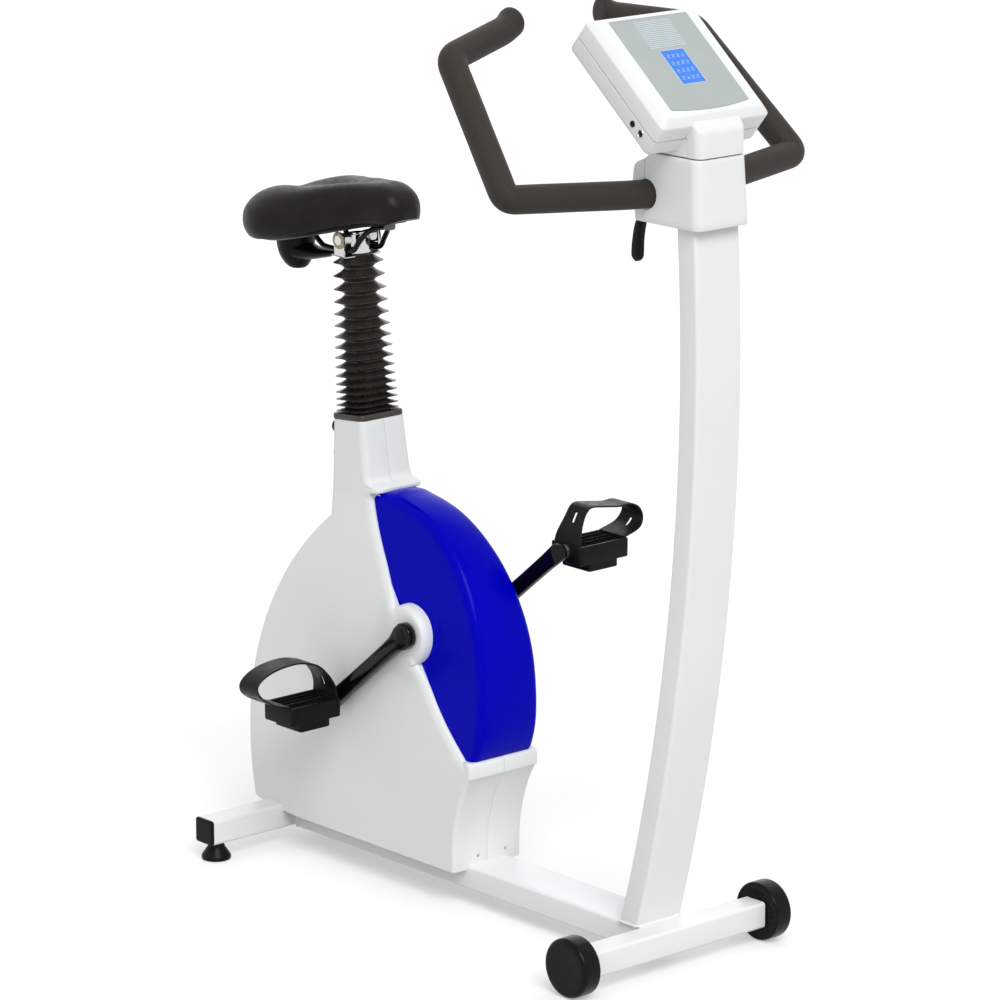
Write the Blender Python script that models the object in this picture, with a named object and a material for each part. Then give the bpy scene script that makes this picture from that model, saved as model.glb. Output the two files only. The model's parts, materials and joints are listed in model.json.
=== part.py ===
"""Bicycle ergometer: a teardrop housing with cranks, a saddle on a bellows-covered post, and a column
that carries a head, a bent handlebar and a turning console.

Metres, +Z up. +X points forward from saddle to column, +Y to the rider's left.
Every shape is written in the crank frame: X from the crank axis, Y from the middle plane, Z from the
floor. The empty "ergometer" moves that frame, so the origin is the middle of the footprint.
"""
from math import asin, atan2, cos, pi, radians, sin, sqrt

import bmesh
import bpy
from mathutils import Matrix, Vector

# Clearances
GAP = 0.0003            # between pieces that touch
SLIDE_GAP = 0.0004      # between pieces that turn or slide in each other

# Base
BEAM_W = 0.066
BEAM_H = 0.0305
BEAM_Z = 0.0358         # middle height of the long beam
CROSS_D = 0.034
CROSS_H = 0.032
FRONT_X = 0.402
FRONT_Z = 0.0356        # the front tube and the wheel axles share this height
FRONT_HALF = 0.140
REAR_X = -0.2687
REAR_Z = 0.0387
REAR_HALF = 0.1676
TUBE_WALL = 0.002
TUBE_CORNER = 0.004
CAP_T = 0.0035
PLATE_T = 0.006         # end plates of the front tube

# Transport wheels and levelling feet
WHEEL_W = 0.026
WHEEL_SIDE_GAP = 0.0015
WHEEL_DISH = 0.004
AXLE_R = 0.005
AXLE_HEAD_R = 0.009
FOOT_Y = 0.148
FOOT_R = 0.0185
FOOT_STUD_R = 0.004

# Column: a flat tube bent to one arc
COLUMN_W = 0.070
COLUMN_D = 0.030
COLUMN_R = 2.46
COLUMN_FRONT_X = 0.4748
COLUMN_FRONT_Z = 0.717
COLUMN_TOP = 0.950
COLUMN_STEPS = 8

# Crank set
CRANK_Z = 0.330
CRANK_LENGTH = 0.170
CRANK_ANGLE = 39.1      # degrees that the right arm points below level, to the rear
SPINDLE_R = 0.0085
SPINDLE_STEP = 0.0015   # the ends that the arms sit on are this much thinner
ARM_IN = 0.0600
ARM_T = 0.0115
ARM_BOSS_R = 0.0165
ARM_END_R = 0.0115
ARM_HALF = 0.0095
ARM_EDGE = 0.0014
SHELL_R = 0.022
SHELL_HALF = 0.027
SHELL_BORE_R = 0.0185
STAND_W = 0.040
PULLEY_R = 0.054
PULLEY_IN = 0.0305
PULLEY_W = 0.007
PULLEY_RIM = 0.007
PULLEY_DISH = 0.0025
PULLEY_HUB_R = 0.020

# Pedals
PEDAL_Y = 0.1175        # middle of the pedal from the middle plane
PEDAL_L = 0.054
PEDAL_W = 0.079
PEDAL_H = 0.0235
PEDAL_DROP = 0.003      # the pedal's middle hangs this far below its axle
WEIGHT_L = 0.050
WEIGHT_W = 0.047
WEIGHT_H = 0.0100
PEDAL_AXLE_R = 0.006
PEDAL_TOP = PEDAL_H / 2 - PEDAL_DROP
STRAP_W = 0.046
STRAP_T = 0.0022
STRAP_TOP_W = 0.033
# Middle lines of the straps, outward from the pedal's middle and up from its top
STRAP_RIGHT = ((-0.036, 0.0), (-0.0385, 0.020), (-0.031, 0.037), (-0.006, 0.045), (0.030, 0.0475),
               (0.056, 0.0440), (0.074, 0.0320), (0.068, 0.0190), (0.050, 0.0080), (0.036, 0.0))
STRAP_LEFT = ((-0.036, 0.0), (-0.033, 0.012), (-0.021, 0.0310), (-0.005, 0.0400), (0.028, 0.0440),
              (0.052, 0.0420), (0.062, 0.0330), (0.058, 0.0180), (0.048, 0.0070), (0.036, 0.0))
# Free end of each strap, from the band out and down
STRAP_TAIL = {"right": ((0.064, 0.0425), (0.080, 0.0385), (0.094, 0.0310)),
              "left": ((0.048, 0.0430), (0.060, 0.0385), (0.071, 0.0290))}
# Slots in each strap: place outward and up from the pedal's top, and lean in degrees
STRAP_SLOTS = {"right": (((-0.0375, 0.020), -4), ((0.063, 0.0150), -58)),
               "left": (((-0.0270, 0.0210), 32), ((0.0560, 0.0160), -32))}

# Flywheel with its own small pulley, turning on a fixed axle
FLY_X = -0.2205
FLY_Z = 0.165
FLY_R = 0.085
FLY_IN = 0.008
FLY_W = 0.011
FLY_HUB_R = 0.016
FLY_HUB_OUT = 0.004
FLY_PULLEY_R = 0.018
FLY_AXLE_R = 0.006
FORK_T = 0.004
BELT_T = 0.0016
BELT_W = 0.006
BELT_GAP = 0.0008        # the belt's inner side is faceted, so it stands off the pulleys
BELT_STEPS = 16

# Seat tube and post, leaning back
SEAT_X = -0.1433        # where the post's axis leaves the neck
SEAT_Z = 0.568
SEAT_LEAN = 4.95        # degrees
POST_R = 0.014
STUB_R = 0.011
POST_WALL = 0.0022
SEAT_TUBE_WALL = 0.0028
POST_TOP = 0.205        # along the axis from the neck's top
POST_IN = 0.350
SEAT_TUBE_LENGTH = 0.530
NECK_PLATE_R = 0.0225
SEAT_LEVER_Z = 0.546
LEVER_SCREW_R = 0.0026

# Housing
WALL = 0.003
REAR_ARC_X = 0.072
REAR_ARC_Z = 0.138
REAR_ARC_R = 0.392
NECK_REAR_X = -0.1715
NECK_FOOT_Z = 0.4475      # the arched back meets the neck here
EDGE_R = 0.009
FOOT_EDGE_R = 0.005     # sharper front corners below the cover
BOSS_R = 0.0375
BOSS_Y = 0.0586
RIM_R = 0.0415          # edge of the front cover around the crank
RIM_X = -0.004
RIM_RAISE = 0.0028      # how far the white rim stands out from the cover
SHAFT_HOLE_R = 0.0120
# Half width of the housing at some heights
HOUSING_HALF = ((0.045, 0.0545), (0.190, 0.0550), (0.270, 0.0535), (0.340, 0.0505), (0.410, 0.0450),
                (0.470, 0.0385), (0.490, 0.0368), (0.572, 0.0337))
# Front line of the housing in side view, from the beam up to the neck
HOUSING_FRONT = ((0.0455, 0.078), (0.080, 0.0785), (0.107, 0.082), (0.135, 0.090), (0.155, 0.0985),
                 (0.169, 0.1065), (0.1695, 0.1095), (0.186, 0.1095), (0.190, 0.1055), (0.230, 0.1115),
                 (0.270, 0.1145), (0.300, 0.1145), (0.330, 0.1120), (0.360, 0.1050), (0.390, 0.0920),
                 (0.412, 0.0765), (0.430, 0.0585), (0.445, 0.0370), (0.457, 0.0110), (0.467, -0.0160),
                 (0.475, -0.0420), (0.482, -0.0680), (0.488, -0.0990), (0.494, -0.1055),
                 (0.530, -0.1110), (0.580, -0.1180))
# Edge of the front cover in side view, from the neck down to the lower corner
COVER_EDGE_UPPER = ((-0.098, 0.502), (-0.0785, 0.4870), (-0.0725, 0.4620), (-0.0620, 0.4330),
                    (-0.0490, 0.3980))
COVER_EDGE_LOWER = ((0.0300, 0.2685), (0.0480, 0.2425), (0.0700, 0.2170), (0.0965, 0.1900))
OPENING_TOP = 0.560     # the cover's opening runs past the shell up to here
OPENING_FRONT = 0.140   # and forward to here
COVER_WALL = 0.0025
SCREW_R = 0.0026

# Mains inlet and switch, low on the back
INLET_Z = 0.092
INLET_Y = 0.0235
INLET_HALF_Y = 0.0135
INLET_HALF_Z = 0.0100
SOCKET_W = 0.0200
SOCKET_H = 0.0130
SOCKET_DEPTH = 0.016
SWITCH_HALF_Y = 0.0070
SWITCH_HALF_Z = 0.0100

# Bellows
RIBS = 16
BELLOWS_LENGTH = 0.2025
RIB_END = 0.2015
FLANGE_T = 0.0075
BELLOWS_BORE_R = 0.0152

# Saddle
SADDLE_X = -0.0590      # tip of the nose
SADDLE_LENGTH = 0.241
SADDLE_HALF = 0.100
SADDLE_STATIONS = (0.0, 0.015, 0.04, 0.08, 0.13, 0.19, 0.25, 0.31, 0.37, 0.44, 0.51, 0.58, 0.66,
                   0.74, 0.82, 0.88, 0.93, 0.965, 0.985, 1.0)
# Heights of the saddle's top and of its lower edge, from the rear (0) to the nose (1)
SADDLE_TOP = ((0.0, 0.822), (0.06, 0.833), (0.20, 0.842), (0.40, 0.848), (0.60, 0.858), (0.80, 0.867),
              (0.88, 0.866), (0.94, 0.861), (0.98, 0.853), (1.0, 0.845))
SADDLE_LOW = ((0.0, 0.799), (0.08, 0.790), (0.25, 0.788), (0.45, 0.797), (0.62, 0.810), (0.80, 0.8185),
              (0.94, 0.8215), (1.0, 0.829))
# Pouch under the rear: height, middle, half length and half width of each level, downwards
POUCH = ((0.7855, -0.2765, 0.0360, 0.0330), (0.780, -0.2770, 0.0350, 0.0320),
         (0.765, -0.2775, 0.0310, 0.0290), (0.750, -0.2760, 0.0250, 0.0250),
         (0.739, -0.2740, 0.0170, 0.0180), (0.732, -0.2725, 0.0080, 0.0090))
# Tongue from the pouch to the clamp: place, height, half height and half width, forwards
TONGUE = ((-0.262, 0.765, 0.014, 0.020), (-0.235, 0.764, 0.009, 0.014),
          (-0.2125, 0.7670, 0.0055, 0.0100), (-0.2000, 0.7700, 0.0035, 0.0070))
BUMPER_X = -0.1006      # soft block between the rails' front and the cushion
BUMPER_R = 0.0075
BUMPER_H = 0.0095
RAIL_R = 0.0033
RAIL_Y = 0.0215
BRACKET_Z = 0.7673
BRACKET_T = 0.0045
BRACKET_L = 0.056
EAR_R = 0.012
EAR_T = 0.003
EAR_OUT = 0.0286
CLAMP_BOLT_R = 0.004

# Head on the column
HEAD_REAR = 0.3725
HEAD_FRONT = 0.4812
HEAD_FRONT_TOP = 0.4765
HEAD_HALF = 0.0420
HEAD_HALF_TOP = 0.0398
HEAD_REAR_R = 0.004
HEAD_FRONT_R = 0.012
SKIRT_HALF = 0.0368
HEAD_Z0 = 0.8930
HEAD_Z1 = 0.9725
HEAD_WALL = 0.0018
SEAM_X = 0.3920
CLAMP_HALF = 0.0200     # half width of the casting that holds the handlebar
CORE_TOP = 0.9680
CORE_FRONT = 0.4600
CORE_DROP = 0.022       # how far the casting reaches below the handlebar
SPIGOT_LOW = 0.9600
SPIGOT_TOP = 0.9960
SPIGOT_BORE_R = 0.0090
LEVER_X = 0.3795
LEVER_Y = -0.0285
LEVER_Z = 0.8990
LEVER_T = 0.0120
LEVER_PIN_R = 0.0025

# Handlebar
BAR_X = 0.395
BAR_Z = 0.925
BAR_R = 0.011
BAR_WALL = 0.0015
FOAM_R = 0.0165
FOAM_START = 0.0245
FOAM_GAP = 0.0004        # a little more than other gaps, because the bends are faceted
BAR_SIDES = 10
BAR_SIDE = Vector((1.0, 0.0, 1.0))   # no stretch of the bar runs this way
ARM_BEND_Y = 0.046
ARM_CORNER = (0.364, 0.2240, 0.9365)
TOP_CORNER = (0.2280, 0.1875, 1.0744)
BAR_END = (0.2000, 0.0705, 1.0955)
CORNER_BEND = 0.030
TOP_BEND = 0.022

# Console
CONSOLE_TOP = (0.3378, 1.1177)
CONSOLE_TILT = 39.8     # degrees, facing forward
CONSOLE_L = 0.1666
CONSOLE_HALF = 0.083
CONSOLE_SEAM = 0.0213
CONSOLE_DEPTH = 0.0430
CROWN = 0.0078
CROWN_IN = 0.0095
PANEL_U = (0.0117, 0.1520)
PANEL_HALF = 0.0597
PANEL_T = 0.0012
LCD_U = (0.0631, 0.1133)
LCD_HALF = 0.0173
SKIRT_Z = 0.9742
SKIRT_TOP = 1.0080
SKIRT_SEAM_X = 0.4580
PIVOT_X = 0.4250
PIVOT_R = 0.0150
NOSE_REAR_X = 0.4530    # rear edge of the skirt's front part
SMALL_JACK = (0.4175, 1.0125)
LARGE_JACK = (0.4305, 1.0030)


def frame_shift():
    """How far the crank axis lies behind the middle of the footprint."""
    rear_point = REAR_ARC_X - REAR_ARC_R
    return -(HEAD_FRONT + rear_point) / 2


# Materials

def material(name, colour, roughness, metallic=0.0):
    """A plain surface from a colour, a roughness and a metallic value."""
    made = bpy.data.materials.new(name)
    made.use_nodes = True
    shader = made.node_tree.nodes["Principled BSDF"]
    shader.inputs["Base Color"].default_value = (*colour, 1.0)
    shader.inputs["Roughness"].default_value = roughness
    shader.inputs["Metallic"].default_value = metallic
    made.diffuse_color = (*colour, 1.0)
    return made


COLOURS = {
    "white_paint": ((0.80, 0.82, 0.81), 0.35, 0.0),
    "white_plastic": ((0.78, 0.80, 0.79), 0.40, 0.0),
    "blue_plastic": ((0.0, 0.0, 0.46), 0.18, 0.0),
    "black_plastic": ((0.012, 0.012, 0.012), 0.45, 0.0),
    "black_paint": ((0.010, 0.010, 0.010), 0.25, 0.0),
    "bellows_rubber": ((0.052, 0.046, 0.038), 0.55, 0.0),
    "saddle_vinyl": ((0.014, 0.013, 0.012), 0.38, 0.0),
    "foam": ((0.058, 0.050, 0.044), 0.70, 0.0),
    "chrome": ((0.75, 0.75, 0.75), 0.10, 1.0),
    "steel": ((0.45, 0.45, 0.46), 0.35, 1.0),
    "iron": ((0.20, 0.20, 0.21), 0.50, 1.0),
    "grey_panel": ((0.43, 0.48, 0.47), 0.45, 0.0),
    "display": ((0.05, 0.22, 0.80), 0.12, 0.0),
    "grey_rubber": ((0.20, 0.20, 0.20), 0.60, 0.0),
    "belt_rubber": ((0.02, 0.02, 0.02), 0.70, 0.0),
    "wheel_rubber": ((0.006, 0.006, 0.005), 0.50, 0.0),
}


# Point and mesh helpers

def rounded_rect(width, height, corner, steps=3):
    """Points around a rectangle with round corners, anticlockwise."""
    points = []
    for quarter, (sx, sy) in enumerate(((1, 1), (-1, 1), (-1, -1), (1, -1))):
        cx = sx * (width / 2 - corner)
        cy = sy * (height / 2 - corner)
        for step in range(steps + 1):
            angle = (quarter + step / steps) * pi / 2
            points.append((cx + corner * cos(angle), cy + corner * sin(angle)))
    return points


def circle(radius, sides, turn=0.0):
    return [(radius * cos(turn + 2 * pi * i / sides), radius * sin(turn + 2 * pi * i / sides))
            for i in range(sides)]


def value_at(table, at):
    """Straight-line value between the pairs of a table that rises in its first column."""
    for (a0, v0), (a1, v1) in zip(table, table[1:]):
        if at <= a1:
            share = max(0.0, (at - a0) / (a1 - a0))
            return v0 + (v1 - v0) * share
    return table[-1][1]


def smooth_line(points, steps):
    """Catmull-Rom curve through a list of 2D or 3D points."""
    line = [Vector(p) for p in points]
    ends = [line[0] * 2 - line[1], *line, line[-1] * 2 - line[-2]]
    out = []
    for i in range(1, len(ends) - 2):
        before, here, after, beyond = ends[i - 1:i + 3]
        for step in range(steps):
            t = step / steps
            out.append(0.5 * ((2 * here) + (after - before) * t
                              + (2 * before - 5 * here + 4 * after - beyond) * t ** 2
                              + (3 * here - before - 3 * after + beyond) * t ** 3))
    out.append(line[-1])
    return out


def bend_path(points, radii, steps=6):
    """A polyline whose inner corners are replaced by arcs of the given tangent length."""
    path = [Vector(points[0])]
    for before, corner, after, cut in zip(points, points[1:], points[2:], radii):
        corner = Vector(corner)
        start = corner + (Vector(before) - corner).normalized() * cut
        end = corner + (Vector(after) - corner).normalized() * cut
        for step in range(steps + 1):
            t = step / steps
            path.append(start * (1 - t) ** 2 + corner * 2 * t * (1 - t) + end * t ** 2)
    path.append(Vector(points[-1]))
    return path


class Scene:
    """Keeps the root empty and the materials while the pieces are made."""

    def __init__(self):
        self.root = bpy.data.objects.new("ergometer", None)
        self.root.location = (frame_shift(), 0.0, 0.0)
        bpy.context.collection.objects.link(self.root)
        self.materials = {name: material(name, *look) for name, look in COLOURS.items()}

    def add(self, name, points, faces, look, origin=(0, 0, 0), smooth=35):
        """One closed piece, with its points in the crank frame and its origin where it turns."""
        mesh = bpy.data.meshes.new(name)
        mesh.from_pydata([Vector(p) - Vector(origin) for p in points], [], faces)
        fix = bmesh.new()
        fix.from_mesh(mesh)
        bmesh.ops.recalc_face_normals(fix, faces=fix.faces)
        fix.to_mesh(mesh)
        fix.free()
        if smooth:
            mesh.shade_smooth()
            mesh.set_sharp_from_angle(angle=radians(smooth))
        piece = bpy.data.objects.new(name, mesh)
        piece.location = origin
        piece.parent = self.root
        bpy.context.collection.objects.link(piece)
        if look:
            mesh.materials.append(self.materials[look])
        return piece


def loft(rings, ring_closed=False):
    """Points and faces of a skin over equal rings; ring_closed joins the last ring to the first."""
    count = len(rings[0])
    points = [p for ring in rings for p in ring]
    faces = []
    pairs = len(rings) if ring_closed else len(rings) - 1
    for r in range(pairs):
        low = r * count
        high = ((r + 1) % len(rings)) * count
        for i in range(count):
            j = (i + 1) % count
            faces.append((low + i, low + j, high + j, high + i))
    if not ring_closed:
        faces.append(tuple(range(count)))
        faces.append(tuple(range((len(rings) - 1) * count, len(rings) * count)))
    return points, faces


def place(outline, origin, u, v):
    """2D points carried to 3D on two directions from an origin."""
    origin, u, v = Vector(origin), Vector(u), Vector(v)
    return [origin + u * a + v * b for a, b in outline]


AXES = {"X": ((0, 1, 0), (0, 0, 1), (1, 0, 0)),
        "Y": ((1, 0, 0), (0, 0, 1), (0, 1, 0)),
        "Z": ((1, 0, 0), (0, 1, 0), (0, 0, 1))}


def prism(outline, axis, low, high, origin=(0, 0, 0)):
    """An outline pushed along an axis from low to high."""
    u, v, w = AXES[axis]
    rings = [place(outline, Vector(origin) + Vector(w) * at, u, v) for at in (low, high)]
    return loft(rings)


def turned(profile, axis, origin, sides):
    """A (radius, height) profile turned round an axis; a profile that starts and ends on the
    same radius above zero leaves a bore when closed is wanted."""
    u, v, w = AXES[axis]
    rings = [place(circle(radius, sides), Vector(origin) + Vector(w) * height, u, v)
             for radius, height in profile]
    return rings


def solid_turned(profile, axis, origin, sides=20):
    return loft(turned(profile, axis, origin, sides))


def bored_turned(profile, axis, origin, sides=20):
    return loft(turned(profile, axis, origin, sides), ring_closed=True)


def box(low, high):
    (x0, y0, z0), (x1, y1, z1) = low, high
    outline = ((x0, y0), (x1, y0), (x1, y1), (x0, y1))
    return prism(outline, "Z", z0, z1)


def cutter(scene, name, shape, piece, operation="DIFFERENCE"):
    """A hidden helper shape that is cut from, added to or kept of a piece."""
    tool = scene.add(name, *shape, None, smooth=0)
    tool.hide_render = True
    tool.display_type = "WIRE"
    modifier = piece.modifiers.new(name, "BOOLEAN")
    modifier.operation = operation
    modifier.object = tool
    modifier.solver = "EXACT"
    return tool


def bevel(piece, width, segments=2, angle=30):
    modifier = piece.modifiers.new("edges", "BEVEL")
    modifier.width = width
    modifier.segments = segments
    modifier.limit_method = "ANGLE"
    modifier.angle_limit = radians(angle)
    return modifier


# Base

def tube_rings(width, height, axis, low, high, origin):
    u, v, w = AXES[axis]
    outer = rounded_rect(width, height, TUBE_CORNER)
    inner = rounded_rect(width - 2 * TUBE_WALL, height - 2 * TUBE_WALL, TUBE_CORNER - TUBE_WALL)
    start = Vector(origin) + Vector(w) * low
    end = Vector(origin) + Vector(w) * high
    return [place(outer, start, u, v), place(outer, end, u, v), place(inner, end, u, v),
            place(inner, start, u, v)]


def base_beam(scene):
    low = REAR_X + CROSS_D / 2 + GAP
    high = FRONT_X - CROSS_D / 2 - GAP
    rings = tube_rings(BEAM_W, BEAM_H, "X", low, high, (0, 0, BEAM_Z))
    scene.add("base_beam", *loft(rings, True), "white_paint")


def cross_tubes(scene):
    outline = rounded_rect(CROSS_D, CROSS_H, TUBE_CORNER)
    centre = (FRONT_X, 0, FRONT_Z)
    front = scene.add("front_cross_tube", *prism(outline, "Y", -FRONT_HALF, FRONT_HALF, centre),
                      "white_paint")
    inside = FRONT_HALF - PLATE_T
    hollow = rounded_rect(CROSS_D - 2 * TUBE_WALL, CROSS_H - 2 * TUBE_WALL, TUBE_CORNER - TUBE_WALL)
    cutter(scene, "cut_front_tube_inside", prism(hollow, "Y", -inside, inside, centre), front)
    for side, name in ((-1, "right"), (1, "left")):
        low, high = sorted((side * (inside - 0.002), side * (FRONT_HALF + 0.002)))
        hole = prism(circle(AXLE_R + GAP, 12), "Y", low, high, centre)
        cutter(scene, "cut_axle_hole_" + name, hole, front)
    inside = REAR_HALF - CAP_T - GAP
    rear = tube_rings(CROSS_D, CROSS_H, "Y", -inside, inside, (REAR_X, 0, REAR_Z))
    piece = scene.add("rear_cross_tube", *loft(rear, True), "white_paint")
    bottom = REAR_Z - CROSS_H / 2
    for side, name in ((-1, "right"), (1, "left")):
        hole = prism(circle(FOOT_STUD_R + SLIDE_GAP, 16), "Z", bottom - 0.001,
                     bottom + TUBE_WALL + 0.001, (REAR_X, side * FOOT_Y, 0))
        cutter(scene, "cut_stud_hole_" + name, hole, piece)


def rear_caps(scene):
    """Black caps with plugs in the ends of the rear tube."""
    plate = rounded_rect(CROSS_D, CROSS_H, TUBE_CORNER)
    inset = 2 * (TUBE_WALL + GAP)
    plug = rounded_rect(CROSS_D - inset, CROSS_H - inset, TUBE_CORNER - TUBE_WALL)
    levels = ((plate, REAR_HALF, 0.94), (plate, REAR_HALF - 0.0008, 1.0),
              (plate, REAR_HALF - CAP_T, 1.0), (plug, REAR_HALF - CAP_T, 1.0),
              (plug, REAR_HALF - 0.012, 1.0))
    u, v, _ = AXES["Y"]
    for side, name in ((-1, "right"), (1, "left")):
        rings = [place([(a * share, b * share) for a, b in outline],
                       (REAR_X, side * at, REAR_Z), u, v) for outline, at, share in levels]
        scene.add("rear_cap_" + name, *loft(rings), "black_plastic")


def wheels(scene):
    """Transport wheels on bolts that screw into the front plugs."""
    inside = FRONT_HALF + WHEEL_SIDE_GAP
    outside = inside + WHEEL_W
    bore = AXLE_R + SLIDE_GAP
    radius = FRONT_Z
    for side, name in ((-1, "right"), (1, "left")):
        face = outside - WHEEL_DISH
        profile = [(bore, inside), (radius * 0.94, inside), (radius, inside + 0.003),
                   (radius, outside - 0.003), (radius * 0.95, outside), (radius * 0.86, outside),
                   (radius * 0.80, face), (bore, face)]
        profile = [(r, side * at) for r, at in profile]
        origin = (FRONT_X, 0, FRONT_Z)
        scene.add("wheel_" + name, *bored_turned(profile, "Y", origin, 20), "wheel_rubber",
                  origin=(FRONT_X, side * (inside + WHEEL_W / 2), FRONT_Z))
        seat = face + GAP
        profile = [(AXLE_R, FRONT_HALF - PLATE_T - 0.004), (AXLE_R, seat), (AXLE_HEAD_R, seat),
                   (AXLE_HEAD_R, seat + 0.0012), (AXLE_HEAD_R * 0.7, seat + 0.0022)]
        profile = [(r, side * at) for r, at in profile]
        scene.add("wheel_bolt_" + name, *solid_turned(profile, "Y", origin, 12), "black_paint")


def levelling_feet(scene):
    top = REAR_Z - CROSS_H / 2
    for side, name in ((-1, "right"), (1, "left")):
        profile = [(FOOT_R * 0.94, 0), (FOOT_R, 0.0012), (FOOT_R, 0.0036), (FOOT_R * 0.93, 0.0050),
                   (FOOT_R * 0.55, 0.0105), (FOOT_R * 0.50, top - GAP * 4),
                   (FOOT_STUD_R, top - GAP * 4), (FOOT_STUD_R, top + 0.016)]
        origin = (REAR_X, side * FOOT_Y, 0)
        scene.add("levelling_foot_" + name, *solid_turned(profile, "Z", origin, 14),
                  "black_plastic", origin=origin)


def column_face(z):
    """X of the column's front face at a height, and its level depth there."""
    rise = z - COLUMN_FRONT_Z
    flat = sqrt(COLUMN_R ** 2 - rise ** 2)
    return COLUMN_FRONT_X - COLUMN_R + flat, COLUMN_D * COLUMN_R / flat


def column(scene):
    low = BEAM_Z + BEAM_H / 2 + GAP
    outer = []
    inner = []
    for step in range(COLUMN_STEPS + 1):
        z = low + (COLUMN_TOP - low) * step / COLUMN_STEPS
        face, depth = column_face(z)
        middle = (face - depth / 2, 0, z)
        out = rounded_rect(depth, COLUMN_W, TUBE_CORNER, 2)
        inn = rounded_rect(depth - 2 * TUBE_WALL, COLUMN_W - 2 * TUBE_WALL,
                           TUBE_CORNER - TUBE_WALL, 2)
        outer.append(place(out, middle, (1, 0, 0), (0, 1, 0)))
        inner.append(place(inn, middle, (1, 0, 0), (0, 1, 0)))
    scene.add("column", *loft(outer + inner[::-1], True), "white_paint")


# Crank set and flywheel

def crank_bracket(scene):
    """The welded stand with the shell that holds the crank bearings."""
    half = STAND_W / 2
    low = BEAM_Z + BEAM_H / 2 + GAP
    stand = box((-half, -half, low), (half, half, CRANK_Z - SHELL_R * 0.3))
    piece = scene.add("crank_bracket", *stand, "steel", smooth=30)
    centre = (0, 0, CRANK_Z)
    shell = prism(circle(SHELL_R, 24), "Y", -SHELL_HALF, SHELL_HALF, centre)
    cutter(scene, "add_shell", shell, piece, "UNION")
    bore = prism(circle(SHELL_BORE_R, 24), "Y", -SHELL_HALF - 0.01, SHELL_HALF + 0.01, centre)
    cutter(scene, "cut_shell_bore", bore, piece)


def crank_cartridge(scene):
    """Bearing unit pressed in the shell."""
    outer = SHELL_BORE_R - GAP
    inner = SPINDLE_R + SLIDE_GAP
    profile = [(inner, -SHELL_HALF - 0.0015), (SHELL_R - 0.002, -SHELL_HALF - 0.0015),
               (SHELL_R - 0.002, -SHELL_HALF - GAP), (outer, -SHELL_HALF - GAP),
               (outer, SHELL_HALF), (inner, SHELL_HALF)]
    scene.add("crank_cartridge", *bored_turned(profile, "Y", (0, 0, CRANK_Z), 16), "iron")


def crank_spindle(scene):
    centre = (0, 0, CRANK_Z)
    tip = ARM_IN + ARM_T - 0.003
    end = SPINDLE_R - SPINDLE_STEP
    profile = [(end, -tip), (end, -ARM_IN), (SPINDLE_R, -ARM_IN), (SPINDLE_R, ARM_IN), (end, ARM_IN),
               (end, tip)]
    scene.add("crank_spindle", *solid_turned(profile, "Y", centre, 12), "steel", origin=centre)


def crank_pulley(scene):
    """Belt pulley with its hub, fixed on the spindle."""
    centre = (0, 0, CRANK_Z)
    bore = SPINDLE_R + GAP
    out = PULLEY_IN + PULLEY_W
    rim = PULLEY_R - PULLEY_RIM
    profile = [(bore, PULLEY_IN), (rim, PULLEY_IN), (PULLEY_R, PULLEY_IN), (PULLEY_R, out),
               (rim, out), (rim, out - PULLEY_DISH), (PULLEY_HUB_R, out - PULLEY_DISH),
               (PULLEY_HUB_R, out), (bore, out)]
    scene.add("crank_pulley", *bored_turned(profile, "Y", centre, 28), "black_plastic",
              origin=centre)


def arm_outline(length):
    """Crank arm seen from the side, along +X from the spindle to the pedal axle."""
    points = []
    for step in range(8):
        angle = pi / 2 + 0.36 + step * (pi - 0.72) / 7
        points.append((ARM_BOSS_R * cos(angle), ARM_BOSS_R * sin(angle)))
    points.append((ARM_BOSS_R * 1.35, -ARM_HALF * 1.12))
    points.append((length * 0.45, -ARM_HALF))
    for step in range(7):
        angle = -pi / 2 + step * pi / 6
        points.append((length + ARM_END_R * cos(angle), ARM_END_R * sin(angle)))
    points.append((length * 0.45, ARM_HALF))
    points.append((ARM_BOSS_R * 1.35, ARM_HALF * 1.12))
    return points


def crank_arms(scene):
    centre = Vector((0, 0, CRANK_Z))
    for side, name in ((-1, "right"), (1, "left")):
        angle = radians(CRANK_ANGLE)
        along = Vector((side * cos(angle), 0, side * sin(angle)))
        across = Vector((-along.z, 0, along.x))
        rings = [place(arm_outline(CRANK_LENGTH), centre + Vector((0, side * at, 0)), along, across)
                 for at in (ARM_IN + GAP, ARM_IN + ARM_T)]
        piece = scene.add("crank_arm_" + name, *loft(rings), "black_paint", origin=centre)
        bevel(piece, ARM_EDGE, 1, 40)
        low, high = sorted((side * (ARM_IN - 0.002), side * (ARM_IN + ARM_T + 0.002)))
        hole = prism(circle(SPINDLE_R - SPINDLE_STEP + GAP, 12), "Y", low, high, centre)
        cutter(scene, "cut_spindle_hole_" + name, hole, piece)
        eye = centre + along * CRANK_LENGTH
        hole = prism(circle(PEDAL_AXLE_R + GAP, 12), "Y", low, high, eye)
        cutter(scene, "cut_pedal_hole_" + name, hole, piece)


def pedal_centre(side):
    angle = radians(CRANK_ANGLE)
    return Vector((side * CRANK_LENGTH * cos(angle), side * PEDAL_Y,
                   CRANK_Z + side * CRANK_LENGTH * sin(angle)))


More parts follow.
